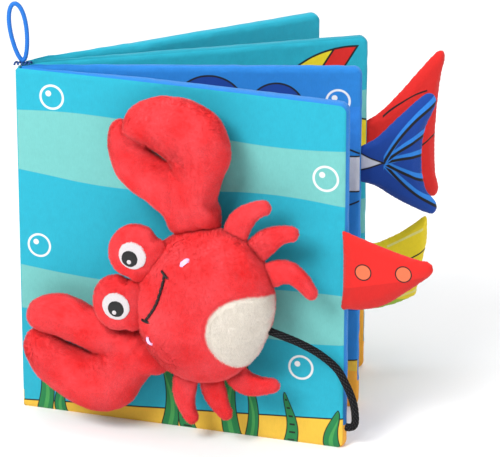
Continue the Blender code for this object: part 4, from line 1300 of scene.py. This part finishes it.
# Each tail's leaf, length, height, foot above the leaf's foot and outline in shares.
TAILS = {
    "orange_dot_tail": ("front_cover", 48 * MM, 45.5 * MM, 79 * MM, (
        (0, 0), (0.22, 0.03), (0.46, 0.12), (0.7, 0.3), (0.9, 0.48), (0.99, 0.58),
        (1, 0.66), (0.95, 0.73), (0.82, 0.76), (0.6, 0.82), (0.3, 0.91), (0, 1),
    )),
    "blue_tail": ("leaf_2", 41.5 * MM, 71 * MM, 111 * MM, (
        (0, 0.26), (0.18, 0.22), (0.45, 0.12), (0.75, 0.03), (0.92, 0), (0.99, 0.04),
        (0.98, 0.1), (0.88, 0.22), (0.82, 0.42), (0.84, 0.65), (0.94, 0.88),
        (0.95, 0.95), (0.88, 1), (0.76, 0.98), (0.45, 0.81), (0.18, 0.65), (0, 0.58),
    )),
    "red_tail": ("leaf_3", 45 * MM, 88 * MM, 97 * MM, (
        (0, 0.26), (0.25, 0.19), (0.55, 0.09), (0.8, 0.01), (0.9, 0), (0.96, 0.05),
        (0.94, 0.2), (0.93, 0.4), (0.95, 0.62), (1, 0.85), (1.02, 0.94), (0.98, 0.995),
        (0.88, 0.985), (0.66, 0.875), (0.4, 0.735), (0.18, 0.63), (0, 0.57),
    )),
    "yellow_tail": ("leaf_3", 38 * MM, 54 * MM, 33 * MM, (
        (0, 0), (0.25, 0), (0.55, 0.04), (0.78, 0.1), (0.84, 0.16), (0.94, 0.5),
        (1, 0.72), (1, 0.94), (0.96, 1), (0.8, 0.95), (0.5, 0.85), (0.22, 0.78), (0, 0.76),
    )),
}


def tail_outline(knots, spacing=1.3 * MM):
    """A tail's cut: a smooth line through its knots that runs on straight past the
    seam at both ends, closed by a straight line inside the leaf."""
    knots = np.asarray(knots)
    ends = []
    for root, after in ((knots[0], knots[1]), (knots[-1], knots[-2])):
        ends.append(root - (after - root) * TAIL_TUCK / (after - root)[0])
    line = smooth_line(np.vstack((ends[:1], knots, ends[1:])), spacing)
    steps = round(float(np.linalg.norm(line[-1] - line[0])) / spacing)
    share = (np.arange(1, steps) / steps)[:, None]
    return np.vstack((line, line[-1] * (1 - share) + line[0] * share))


def dotted_print(art):
    """Two round dots over a darker upper half."""
    art.fill(art.line((0, 14 * MM), (48 * MM, 26 * MM)), "crimson", 0.55)
    for x, z in ((10.5, 24.5), (32.5, 26)):
        art.outlined(art.circle(x * MM, z * MM, 4.3 * MM), "coral", 0.7 * MM)


def rayed_print(art):
    """Dark rays that fan out from the root, each with a paler ray beside it."""
    apex = (12 * MM, 31.5 * MM)
    radius = 120 * MM
    for rise, light in ((-30, -27), (-14, -11), (4, 7), (20, 23), (40, 43)):
        far = (apex[0] + 34 * MM, apex[1] + rise * MM)
        pale = (apex[0] + 34 * MM, apex[1] + light * MM)
        bend = 1 if rise > 0 else -1
        for finish, colour, width in ((pale, "sky", 3.2), (far, "ink", 1.6)):
            run = np.subtract(finish, apex)
            length = float(np.hypot(*run))
            normal = np.array((-run[1], run[0])) / length * -bend
            middle = (np.array(apex) + finish) / 2
            centre = middle + normal * sqrt(radius**2 - length**2 / 4)
            ring = art.circle(float(centre[0]), float(centre[1]), radius)
            art.fill(art.both(art.band(ring, width * MM), art.past(apex[0])), colour)
    upper = art.line((-2 * MM, 36.5 * MM), apex)
    lower = art.line((-2 * MM, 26.5 * MM), apex)
    art.outlined(art.less(upper, lower), "grey", 0.9 * MM)


def red_fin_print(art):
    """Two thin dark arcs, each between two places along the fin."""
    for x, z, radius, low, high in ((45, 10, 56, 8, 34), (60, -8, 50, 30, 45)):
        arc = art.band(art.circle(x * MM, z * MM, radius * MM), MM)
        art.fill(art.both(arc, art.between(low * MM, high * MM)), "ink")


def yellow_fin_print(art):
    """A green foot, two pale streaks and a thin dark line."""
    # Painted shade: a greenish yellow along the tail's foot, where the lower lobe's underside
    # falls in shade.
    art.fill(art.wave(8 * MM, 3 * MM, 60 * MM, 2), "tail_foot_shade")
    for z, lean, near, far in ((35, 14, 12, 34), (3, 9, 18, 31)):
        streak = art.band(art.line((0, z * MM), (40 * MM, (z + lean) * MM)), 1.4 * MM)
        art.fill(art.both(streak, art.between(near * MM, far * MM)), "lemon")
    edge = art.band(art.line((18 * MM, 27 * MM), (40 * MM, 36 * MM)), 0.9 * MM)
    art.fill(art.both(edge, art.past(16 * MM)), "ink")


TAIL_LOOKS = {
    "orange_dot_tail": ("red", dotted_print),
    "blue_tail": ("navy", rayed_print),
    "red_tail": ("red", red_fin_print),
    "yellow_tail": ("yellow", yellow_fin_print),
}


def build_tails(settings):
    """Each tail: two printed cloths blown up a little between their sewn edges."""
    for name, (leaf, length, height, foot, shares) in TAILS.items():
        ground, draw = TAIL_LOOKS[name]
        outline = tail_outline(np.array(shares) * (length, height))
        depth = TAIL_THICKNESS / 2
        points, faces, cloth, _ = stuffed(outline, depth, depth, 7 * MM, 1.5 * MM, 9 * MM)
        points = puffed(points, faces, settings.tail_cap, settings.tail_pressure)
        proud = -LEAF_ROOT / 2 + 0.55 * MM if leaf == "front_cover" else 0
        here = leaf_frame(leaf) @ placed(
            (1, 0, 0), (0, 1, 0), (0, 0, 1), (LEAVES[leaf][0] + 0.8 * MM, proud, foot)
        )
        made = piece(f"{name}_pad", moved(points, here), faces,
                     printed_cloth(f"{name}_printed_polyester", ground, draw), cloth)
        finer(made)
        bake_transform(made)
        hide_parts(f"{name}_front_cloth", f"{name}_back_cloth", f"{name}_filling")


def flap_frame(place, side, lift=0, edge=0, seat=1):
    """The frame of a flap's hinge on the crab's seam: out (x), back (y), and along
    the seam (z). Side -1 mirrors the place to the lower half."""
    x = CRAB_HALF_WIDTH * cos(place) * seat
    z = CRAB_HALF_HEIGHT * sin(place) * seat
    outward = atan2(z / CRAB_HALF_HEIGHT**2, x / CRAB_HALF_WIDTH**2)
    if side < 0:
        x, outward = -x, pi - outward
    origin = (x + GAP * cos(outward), -lift - edge, z + GAP * sin(outward))
    return crab_frame() @ turned_y(-outward, origin)


BELLY = (0, -33 * MM, 22.5 * MM, 26 * MM)


def build_crab_body(settings):
    """The stuffed body: two plush faces blown up between their sewn rim, with the
    belly patch's seam pressed in, and a dent along the mouth."""
    turns = 2 * pi * np.arange(150) / 150
    head = CRAB_BROW * np.maximum(np.sin(turns), 0) ** 2
    outline = np.column_stack((
        CRAB_HALF_WIDTH * np.cos(turns), CRAB_HALF_HEIGHT * np.sin(turns) + head,
    ))
    points, faces, cloth, sides = stuffed(outline, CRAB_FRONT, CRAB_BACK, 40 * MM, 1.8 * MM)
    points = puffed(points, faces, settings.body_cap, settings.pressure)
    finish = plush("red_and_cream_plush", BELLY)
    body = piece("crab_body_pad", points, faces, finish, cloth)
    layer = body.data.attributes.new("front", "FLOAT", "POINT")
    layer.data.foreach_set("value", np.clip(sides * 1.6, 0, 1).astype(np.float32))
    finer(body)
    rumpled(body, np.eye(4), 0.7 * MM)
    mesh = body.data
    at, _ = at_points(mesh)
    x, z, half_width, half_height = BELLY
    reach = np.hypot((at[:, 0] - x) / half_width, (at[:, 2] - z) / half_height) - 1
    front = at[:, 1] < -MM
    at[:, 1] += front * MM * np.exp(-((reach * 22 * MM / (1.5 * MM)) ** 2))
    mouth = rim_distance(at[:, (0, 2)], MOUTH_ROUND)
    at[:, 1] += front * 1.3 * MM * np.exp(-((mouth / (3 * MM)) ** 2))
    turn = np.arctan2(at[:, 2], at[:, 0])
    out = np.hypot(at[:, 0] / CRAB_HALF_WIDTH, at[:, 2] / CRAB_HALF_HEIGHT)
    gather = noise(turn * 42 * MM, 0.3 * at[:, 1], 4 * MM, 5)
    gather = gather * np.exp(-((1 - out) * 38 * MM / (7 * MM)) ** 2)
    at[:, 1] += np.where(at[:, 1] < 0, -1, 1) * 0.45 * MM * gather
    here = crab_frame()
    mesh.vertices.foreach_set("co", moved(at, here).ravel())
    mesh.update()

    def bare(roots):
        """Which roots lie under the mouth or a cheek stitch."""
        flat = within(roots, here)
        stitches = rim_distance(flat[:, (0, 2)], MOUTH_ROUND) < 0.7 * MM
        for x, z, half, _ in CHEEKS:
            stitches |= np.hypot(flat[:, 0] - x * MM, flat[:, 2] - z * MM) < (half - 0.3) * MM
        return stitches & (flat[:, 1] < 0)

    pile(body, "crab", 9, 1.25 * MM, bare)
    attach(body, "crab")
    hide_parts("crab_front_panel", "crab_back_panel", "crab_belly_patch", "crab_stuffing")


# The mouth's line in the crab's frame, and the same line there and back as an outline.
MOUTH = smooth_line(
    np.array((
        (13.8, 23.5), (10, 22.6), (5, 22.2), (-1, 22.1), (-6, 22.7), (-11.5, 24.1),
        (-16.6, 25.8),
    )) * MM,
    0.6 * MM,
)
MOUTH_ROUND = np.vstack((MOUTH, MOUTH[::-1]))

# The cheek stitches: middle and half length in millimetres, and lean, on the crab.
CHEEKS = ((25.3, 15.2, 3.3, radians(-31)), (-26.4, 20.4, 2.9, radians(50)))


def on_front(tree, flat, lift):
    """Points on the front of a piece over flat points in the crab's frame."""
    here = crab_frame()
    toward = here[:3, 1]
    found = []
    for x, z in flat:
        start = here[:3, 3] + here[:3, 0] * x + here[:3, 2] * z - toward * 0.08
        hit = tree.ray_cast(Vector(start), Vector(toward))
        found.append(np.array(hit[0]) + np.array(hit[1]) * lift)
    return np.array(found)


def surface_of(obj):
    """A tree of a piece's faces, to cast rays at."""
    points = [vertex.co.copy() for vertex in obj.data.vertices]
    faces = [tuple(face.vertices) for face in obj.data.polygons]
    return BVHTree.FromPolygons(points, faces)


def stitched(tree, line, length, gap, width, lift, sag=0.35):
    """Thread stitches along a line of flat points: each a short arc of thread that
    dives into the cloth at both ends."""
    steps = np.linalg.norm(np.diff(line, axis=0), axis=1)
    run = np.concatenate(((0,), np.cumsum(steps)))
    count = max(1, round(run[-1] / (length + gap)))
    stitches = []
    for number in range(count):
        start = number * run[-1] / count
        end = start + run[-1] / count - gap
        at = np.linspace(start, end, 9)
        flat = np.column_stack([np.interp(at, run, line[:, k]) for k in (0, 1)])
        path = on_front(tree, flat, 0)
        normal = on_front(tree, flat, 1) - path
        turn = np.linspace(-1, 1, 9)[:, None]
        path = path + normal * (lift - (lift + width * sag) * turn**4)
        stitches.append(tube(path, width / 2, 10)[:2])
    return merged(stitches)


def build_face():
    """The mouth in back stitch with a tick at each end, and the two cheek stitches
    in satin stitch, all laid on the body's own surface."""
    tree = surface_of(bpy.data.objects["crab_body_pad"])
    black = threads("black_embroidery_thread", "thread", 2400, 0.55)
    parts = [stitched(tree, MOUTH, 3.4 * MM, 0.1 * MM, 1.6 * MM, 0.8 * MM)]
    for x, z, lean in ((13.8, 23.5, 1), (-16.6, 25.8, -1)):
        tick = np.array(((x - 0.8 * lean, z - 2.8), (x + 0.7 * lean, z + 2.6))) * MM
        parts.append(stitched(tree, tick, 5.6 * MM, 0, 1.4 * MM, 0.9 * MM))
    mouth = piece("crab_mouth_stitches", *merged(parts), black)
    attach(mouth, "crab")
    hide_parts("crab_mouth")

    lilac = threads("lilac_embroidery_thread", "lilac", 2400, 0.4)
    for name, (x, z, length, lean) in zip(("upper", "lower"), CHEEKS):
        strands = []
        ahead, across = np.array((cos(lean), sin(lean))), np.array((-sin(lean), cos(lean)))
        for strand in range(5):
            off = (strand - 2) * 0.45
            half = length * (1 - 0.1 * abs(strand - 2) ** 1.5)
            middle = np.array((x, z)) + across * off
            line = (middle + np.array(((-half,), (0,), (half,))) * ahead) * MM
            strands.append(stitched(tree, line, 9 * MM, 0, 0.6 * MM, 0.95 * MM, 0.6))
        made = piece(f"{name}_cheek_satin", *merged(strands), lilac)
        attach(made, "crab")
        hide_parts(f"{name}_cheek_stitch")


CLAW_SHARES = (
    (0, -0.2), (0.13, -0.25), (0.27, -0.34), (0.41, -0.43), (0.55, -0.47), (0.7, -0.45),
    (0.83, -0.36), (0.93, -0.23), (0.99, -0.07), (0.99, 0.09), (0.95, 0.2), (0.87, 0.28),
    (0.76, 0.29), (0.69, 0.21), (0.64, 0.14), (0.55, 0.07), (0.47, 0.03), (0.36, 0.1),
    (0.24, 0.14), (0.11, 0.16), (0, 0.14),
)
PINCER_SHARES = (
    (0, -0.02), (0.14, -0.04), (0.3, -0.05), (0.42, 0.0), (0.53, 0.09), (0.62, 0.17),
    (0.7, 0.22), (0.81, 0.25), (0.89, 0.32), (0.87, 0.4), (0.77, 0.46), (0.64, 0.49),
    (0.5, 0.475), (0.37, 0.41), (0.23, 0.3), (0.11, 0.225), (0, 0.19),
)
# The lower claw's pincer is shorter and fuller.
LOWER_PINCER_SHARES = (
    (0, -0.02), (0.14, -0.04), (0.3, -0.03), (0.42, 0.02), (0.52, 0.12), (0.59, 0.19),
    (0.65, 0.235), (0.71, 0.27), (0.765, 0.34), (0.765, 0.43), (0.69, 0.52), (0.58, 0.57),
    (0.45, 0.57), (0.33, 0.51), (0.2, 0.38), (0.1, 0.26), (0, 0.2),
)
CLAW_LENGTH = 73 * MM
CLAW_TUCK = 6 * MM
CLAW_SWELL = 9 * MM


def joined(pads):
    """One closed mesh from pads that overlap, by remeshing them to small voxels."""
    both = piece("joining", *merged(pads), PLAIN)
    remesh = both.modifiers.new("voxels", "REMESH")
    remesh.mode = "VOXEL"
    remesh.voxel_size = 1.3 * MM
    seen = both.evaluated_get(bpy.context.evaluated_depsgraph_get())
    mesh = bpy.data.meshes.new_from_object(seen)
    bm = bmesh.new()
    bm.from_mesh(mesh)
    bmesh.ops.triangulate(bm, faces=bm.faces)
    points = np.array([v.co for v in bm.verts])
    faces = np.array([[v.index for v in f.verts] for f in bm.faces])
    bm.free()
    bpy.data.objects.remove(both)
    bpy.data.meshes.remove(mesh)
    return points, faces


def build_claws(settings):
    """Each claw: a palm that runs on into the big pincer and the small pincer, whose
    tips meet and leave a slit between them."""
    places = {
        "upper": (radians(32), 1, 0, 1, PINCER_SHARES),
        "lower": (radians(34), -1, 0.3, 0.96, LOWER_PINCER_SHARES),
    }
    finish = plush("red_claw_plush")
    for name, (place, side, lean, stretch, pincer) in places.items():
        pads = []
        for shares, front, back, roll, push in (
            (np.array(CLAW_SHARES) * (stretch, 1), 12.2, 9.4, 19, -0.8),
            (np.array(pincer), 10.4, 8.6, 15, 1.2),
        ):
            outline = smooth_line(shares * CLAW_LENGTH, 1.8 * MM, closed=True)
            outline = rooted(outline, CLAW_TUCK)
            outline[:, 1] += lean * outline[:, 0]
            points, faces, _, _ = stuffed(
                outline, front * MM, back * MM, roll * MM, 2 * MM, CLAW_SWELL,
            )
            points[:, 1] += push * MM * ease((points[:, 0] - 25 * MM) / (30 * MM))
            pads.append((points, faces))
        points, faces = joined(pads)
        points = relaxed(points, faces)
        points = puffed(points, faces, settings.claw_cap, settings.pressure)
        points = relaxed(points, faces)
        points[:, 2] *= side
        if side < 0:
            faces = faces[:, ::-1]
        here = flap_frame(place, side, -3 * MM, MM)
        seated = moved(points + (0, MM, 0), here)
        made = piece(f"{name}_claw_pad", seated, faces, finish, points[:, (0, 2)])
        finer(made)
        rumpled(made, here, 0.9 * MM, 0.8 * MM, 13 * MM)
        pile(made, f"{name}_claw", 10, 1.2 * MM)
        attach(made, f"{name}_claw")
        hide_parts(f"{name}_claw")


SATIN_LEAN = 0.35


def satin_patch(radius, height, seed):
    """A round satin-stitch patch: a low dome of threads side by side, whose ends make
    its rim a little uneven. The threads run along a direction of their own."""
    rings, sides = 22, 90
    turns = 2 * pi * np.arange(sides) / sides
    share = np.linspace(0, 1, rings) ** 0.8
    uneven = 1 + 0.02 * noise(turns * 8, 0 * turns, 1, seed)
    reach = radius * share[:, None] * np.where(share[:, None] > 0.9, uneven[None], 1)
    x, z = reach * np.cos(turns), reach * np.sin(turns)
    across = x * sin(SATIN_LEAN) + z * cos(SATIN_LEAN)
    ribs = 0.05 * MM * np.abs(np.sin(pi * across / (0.42 * MM)))
    rise = height * np.sqrt(np.maximum(0, 1 - share[:, None] ** 4))
    rise = rise + ribs * (share[:, None] < 0.98)
    points = np.stack((x, -rise, z), -1).reshape(-1, 3)
    return points, grid_faces(rings, sides, round_columns=True, flip=True)


EYE_TUCK = 4 * MM
EYE_MIDDLE = 10 * MM
EYE_WHITE = 7.7 * MM


def eye_white(roots, here):
    """Which points lie under the white of an eye."""
    x, y, z = within(roots, here).T
    return (np.hypot(x - EYE_MIDDLE, z) < EYE_WHITE - 0.4 * MM) & (y < 0)


def build_eyes(settings):
    """Each eye: a stuffed plush flap with a satin white, a black pupil and a glint."""
    finish = plush("red_flap_plush")
    white = threads("white_embroidery_thread", "eye", 2600, 0.45)
    black = threads("pupil_embroidery_thread", "thread", 2600, 0.4)
    reach, neck, half, bow = 24.5 * MM, 12.6 * MM, 15.25 * MM, 10.5 * MM
    turns = np.linspace(-pi / 2, pi / 2, 13)
    rim = np.column_stack((bow + (reach - bow) * np.cos(turns), half * np.sin(turns)))
    shoulder = (neck + half) / 2
    outline = np.vstack(((0, -neck), (bow / 2, -shoulder), rim, (bow / 2, shoulder), (0, neck)))
    outline = smooth_line(outline, 1.3 * MM, closed=True) * (1.03, 1.05)
    outline = rooted(outline, EYE_TUCK)
    looks = {"upper": (1, (0.2, 2.1), (-0.6, 3.6)), "lower": (-1, (-0.3, 1.2), (0.4, 3.2))}
    for name, (side, pupil, glint) in looks.items():
        points, faces, cloth, _ = stuffed(outline, 5 * MM, 4.6 * MM, 9 * MM, 1.5 * MM, 9 * MM)
        points = puffed(points, faces, settings.flap_cap, settings.pressure)
        here = flap_frame(radians(72), side, 9 * MM, 0.8 * MM, 0.93)
        seated = moved(points + (0, 0.8 * MM, 0), here)
        flap = piece(f"{name}_eye_pad", seated, faces, finish, cloth)
        finer(flap)
        rumpled(flap, here, 0.3 * MM, 0.3 * MM, 6 * MM)
        pile(flap, f"{name}_eye", 12, 1.1 * MM, lambda roots: eye_white(roots, here))
        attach(flap, f"{name}_eye")
        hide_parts(f"{name}_eye_flap")
        for label, radius, height, (x, z), base, material in (
            ("white", EYE_WHITE, 0.8, (0, 0), -4.9, white),
            ("pupil", 4.6 * MM, 0.7, pupil, -5.5, black),
            ("glint", 1.25 * MM, 0.5, glint, -6, white),
        ):
            points, faces = satin_patch(radius, height * MM, len(label) + side)
            points = moved(points + (EYE_MIDDLE + x * MM, base * MM, z * MM), here)
            made = piece(f"{name}_eye_{label}_satin", points, faces, material)
            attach(made, f"{name}_eye")
            if label != "glint":
                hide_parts(f"{name}_eye_{label}")


LEG_TUCK = 3 * MM

# Each leg's place on the seam, then how far its tip reaches out and hooks towards the
# belly, in millimetres, and the power of the hook's curve.
LEG_SEATS = {
    "upper": ((-3, 22.8, 11.8, 2.4), (-24.5, 24.3, 7.5, 2.8), (-46, 18.5, 19, 3.4)),
    "lower": ((-3, 24, 11.1, 2.2), (-24.5, 21.5, 6.5, 2.2), (-46, 15, 19, 2.2)),
}


LEG_HALF_WIDTH = 7.1 * MM
LEG_TIP = 4 * MM


def leg_outline(reach, drop, power):
    """A leg's cut: a middle line that runs out and hooks down with a power of how far
    it has come, and a half width square to it that narrows to a round tip."""
    share = np.linspace(0, 1, 60)
    middle = np.column_stack((reach * share, -drop * share**power))
    run = np.concatenate(((0,), np.cumsum(np.linalg.norm(np.diff(middle, axis=0), axis=1))))
    even = np.linspace(0, run[-1], 34)
    middle = np.column_stack([np.interp(even, run, middle[:, k]) for k in (0, 1)])
    ahead = np.gradient(middle, axis=0)
    ahead /= np.linalg.norm(ahead, axis=1)[:, None]
    across = np.column_stack((-ahead[:, 1], ahead[:, 0]))
    left = run[-1] - even
    width = LEG_TIP + (LEG_HALF_WIDTH - LEG_TIP) * ease(left / run[-1] * 1.25)
    width = width * np.sqrt(1 - np.clip(1 - left / width, 0, 1) ** 2)
    across = across * width[:, None]
    line = np.vstack((middle - across, (middle + across)[-2::-1]))
    start = np.array(((-LEG_TUCK, -LEG_HALF_WIDTH * ROOT_SQUEEZE),))
    return np.vstack((start, line, start * (1, -1)))


def build_legs(settings):
    """Six flat stuffed legs that bend towards the crab's belly end."""
    finish = plush("red_leg_plush")
    for name, side in (("upper", 1), ("lower", -1)):
        for number, (place, reach, drop, power) in enumerate(LEG_SEATS[name], 1):
            outline = leg_outline(reach * MM, drop * MM, power) * (1, side)
            outline = smooth_line(outline, 1.1 * MM)
            steps = np.linspace(0, 1, 12)[1:-1, None]
            outline = np.vstack((outline, outline[-1] * (1 - steps) + outline[0] * steps))
            points, faces, cloth, _ = stuffed(
                outline, 3.2 * MM, 2.8 * MM, 5.5 * MM, 1.3 * MM, 4 * MM,
            )
            points = puffed(points, faces, settings.leg_cap, settings.pressure)
            here = flap_frame(radians(place), side, 0, 0.8 * MM)
            seated = moved(points + (0, 0.8 * MM, 0), here)
            made = piece(f"{name}_leg_{number}_pad", seated, faces, finish, cloth)
            finer(made)
            rumpled(made, here, 0.3 * MM, 0.25 * MM, 5 * MM)
            pile(made, f"{name}_leg_{number}", 12, 1.1 * MM)
            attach(made, f"{name}_leg_{number}")
            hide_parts(f"{name}_leg_{number}")


def build_patches():
    """The finish of three solids kept as they are: the hook and loop patches between
    the crab and the cover, in white tape, and the spine's seam thread."""
    tape, tree, shader = blank("white_hook_and_loop_tape")
    where = add(tree, "TexCoord", out=3)
    hooks = add(tree, "TexNoise", where, None, 1400, 2, 0.6)
    light = figure(tree, "MULTIPLY_ADD", hooks, 0.4, 0.68)
    tint(tree, shader, add(tree, "CombineColor", 0.8, 0.8, 0.79), light)
    raise_surface(tree, shader, 0.8, 0.4 * MM, hooks)
    set_inputs(shader, {"Roughness": 0.7})
    seam = threads("seam_thread", "cord", 2600, 0.5)
    for node, finish in (
        ("crab_hook_patch", tape), ("crab_loop_patch", tape), ("spine_seam", seam),
    ):
        frame["nodes"][node].data.materials.clear()
        frame["nodes"][node].data.materials.append(finish)


def real(name, text, default, unit="NONE"):
    """A number of a stage's settings."""
    return bpy.props.FloatProperty(
        name=name, description=text, default=default, min=0, max=100, unit=unit,
    )


class StudioSettings(bpy.types.PropertyGroup):
    """Light and camera."""

    sky: real("Room", "Strength of the soft white room", 0.62)
    key: real("Key", "Power of the key light in watts", 34)
    fill: real("Fill", "Power of the fill light in watts", 6)
    top: real("Top", "Power of the top light in watts", 10)
    distance: real("Distance", "From the lens to the spine's foot", 1.845, unit="LENGTH")


class LeafSettings(bpy.types.PropertyGroup):
    """How the padded leaves lie."""

    folds: real("Folds", "Height of the slow folds", 0.55 * MM, unit="LENGTH")
    puckers: real("Puckers", "Height of the puckers along the seams", 0.4 * MM, unit="LENGTH")
    edge_swell: real("Edge swell", "How far a boxed edge stands out", 0.9 * MM, unit="LENGTH")


class CordSettings(bpy.types.PropertyGroup):
    """The tether."""

    diameter: real("Tether", "Diameter of the braided tether", 4.2 * MM, unit="LENGTH")


class PadSettings(bpy.types.PropertyGroup):
    """How far the stuffed pieces blow up."""

    pressure: real("Pressure", "Pressure in the stuffed pieces", 4)
    tail_pressure: real("Tail pressure", "Pressure in the tails", 2)
    body_cap: real("Body cap", "Furthest that the body's cloth may move", 3 * MM, unit="LENGTH")
    claw_cap: real("Claw cap", "Furthest that a claw's cloth may move", 2.4 * MM, unit="LENGTH")
    flap_cap: real("Eye cap", "Furthest that an eye's cloth may move", 1.4 * MM, unit="LENGTH")
    leg_cap: real("Leg cap", "Furthest that a leg's cloth may move", 1.1 * MM, unit="LENGTH")
    tail_cap: real("Tail cap", "Furthest that a tail's cloth may move", 1.2 * MM, unit="LENGTH")


def build_cords(settings):
    build_tether(settings)
    build_loop()


def build_leaves(settings):
    for name, look in LEAF_LOOKS.items():
        build_leaf(name, look, settings)


def build_crab(settings):
    build_crab_body(settings)
    build_face()
    build_claws(settings)
    build_eyes(settings)
    build_legs(settings)
    build_patches()


def stage(name, text, build):
    """An operator that builds one stage of the book from the scene's settings."""
    def execute(self, context):
        build(context.scene)
        return {"FINISHED"}

    return type(f"CLOTHBOOK_OT_{name}", (bpy.types.Operator,), {
        "__doc__": text, "bl_idname": f"clothbook.{name}",
        "bl_label": f"Build {name.title()}", "execute": execute,
    })


STAGES = (
    stage("studio", "Build the floor, the lights and the camera",
          lambda scene: build_studio(scene.book_studio)),
    stage("cords", "Build the tether and the hanging loop",
          lambda scene: build_cords(scene.book_cords)),
    stage("leaves", "Build the four padded leaves",
          lambda scene: build_leaves(scene.book_leaves)),
    stage("spine", "Build the spine's cloths", lambda scene: build_spine()),
    stage("tails", "Build the fish tails", lambda scene: build_tails(scene.book_pads)),
    stage("crab", "Build the crab's body, claws, eyes, legs, face and patches",
          lambda scene: build_crab(scene.book_pads)),
)
GROUPS = {
    "book_studio": StudioSettings, "book_cords": CordSettings,
    "book_leaves": LeafSettings, "book_pads": PadSettings,
}


class CLOTHBOOK_PT_panel(bpy.types.Panel):
    """One button for each stage"""

    bl_label = "Cloth Book"
    bl_idname = "CLOTHBOOK_PT_panel"
    bl_space_type = "VIEW_3D"
    bl_region_type = "UI"
    bl_category = "Cloth Book"

    def draw(self, context):
        for name, group in GROUPS.items():
            box = self.layout.box()
            for field in group.__annotations__:
                box.prop(getattr(context.scene, name), field)
        for step in STAGES:
            self.layout.operator(step.bl_idname)


def register():
    for group in GROUPS.values():
        bpy.utils.register_class(group)
    for name, group in GROUPS.items():
        setattr(bpy.types.Scene, name, bpy.props.PointerProperty(type=group))
    for made in (*STAGES, CLOTHBOOK_PT_panel):
        bpy.utils.register_class(made)


def unregister():
    for made in reversed((*STAGES, CLOTHBOOK_PT_panel)):
        bpy.utils.unregister_class(made)
    for name, group in GROUPS.items():
        delattr(bpy.types.Scene, name)
        bpy.utils.unregister_class(group)


def main():
    register()
    for step in STAGES:
        group, action = step.bl_idname.split(".")
        getattr(getattr(bpy.ops, group), action)()
    bpy.data.materials.remove(PLAIN)


if __name__ == "__main__":
    main()
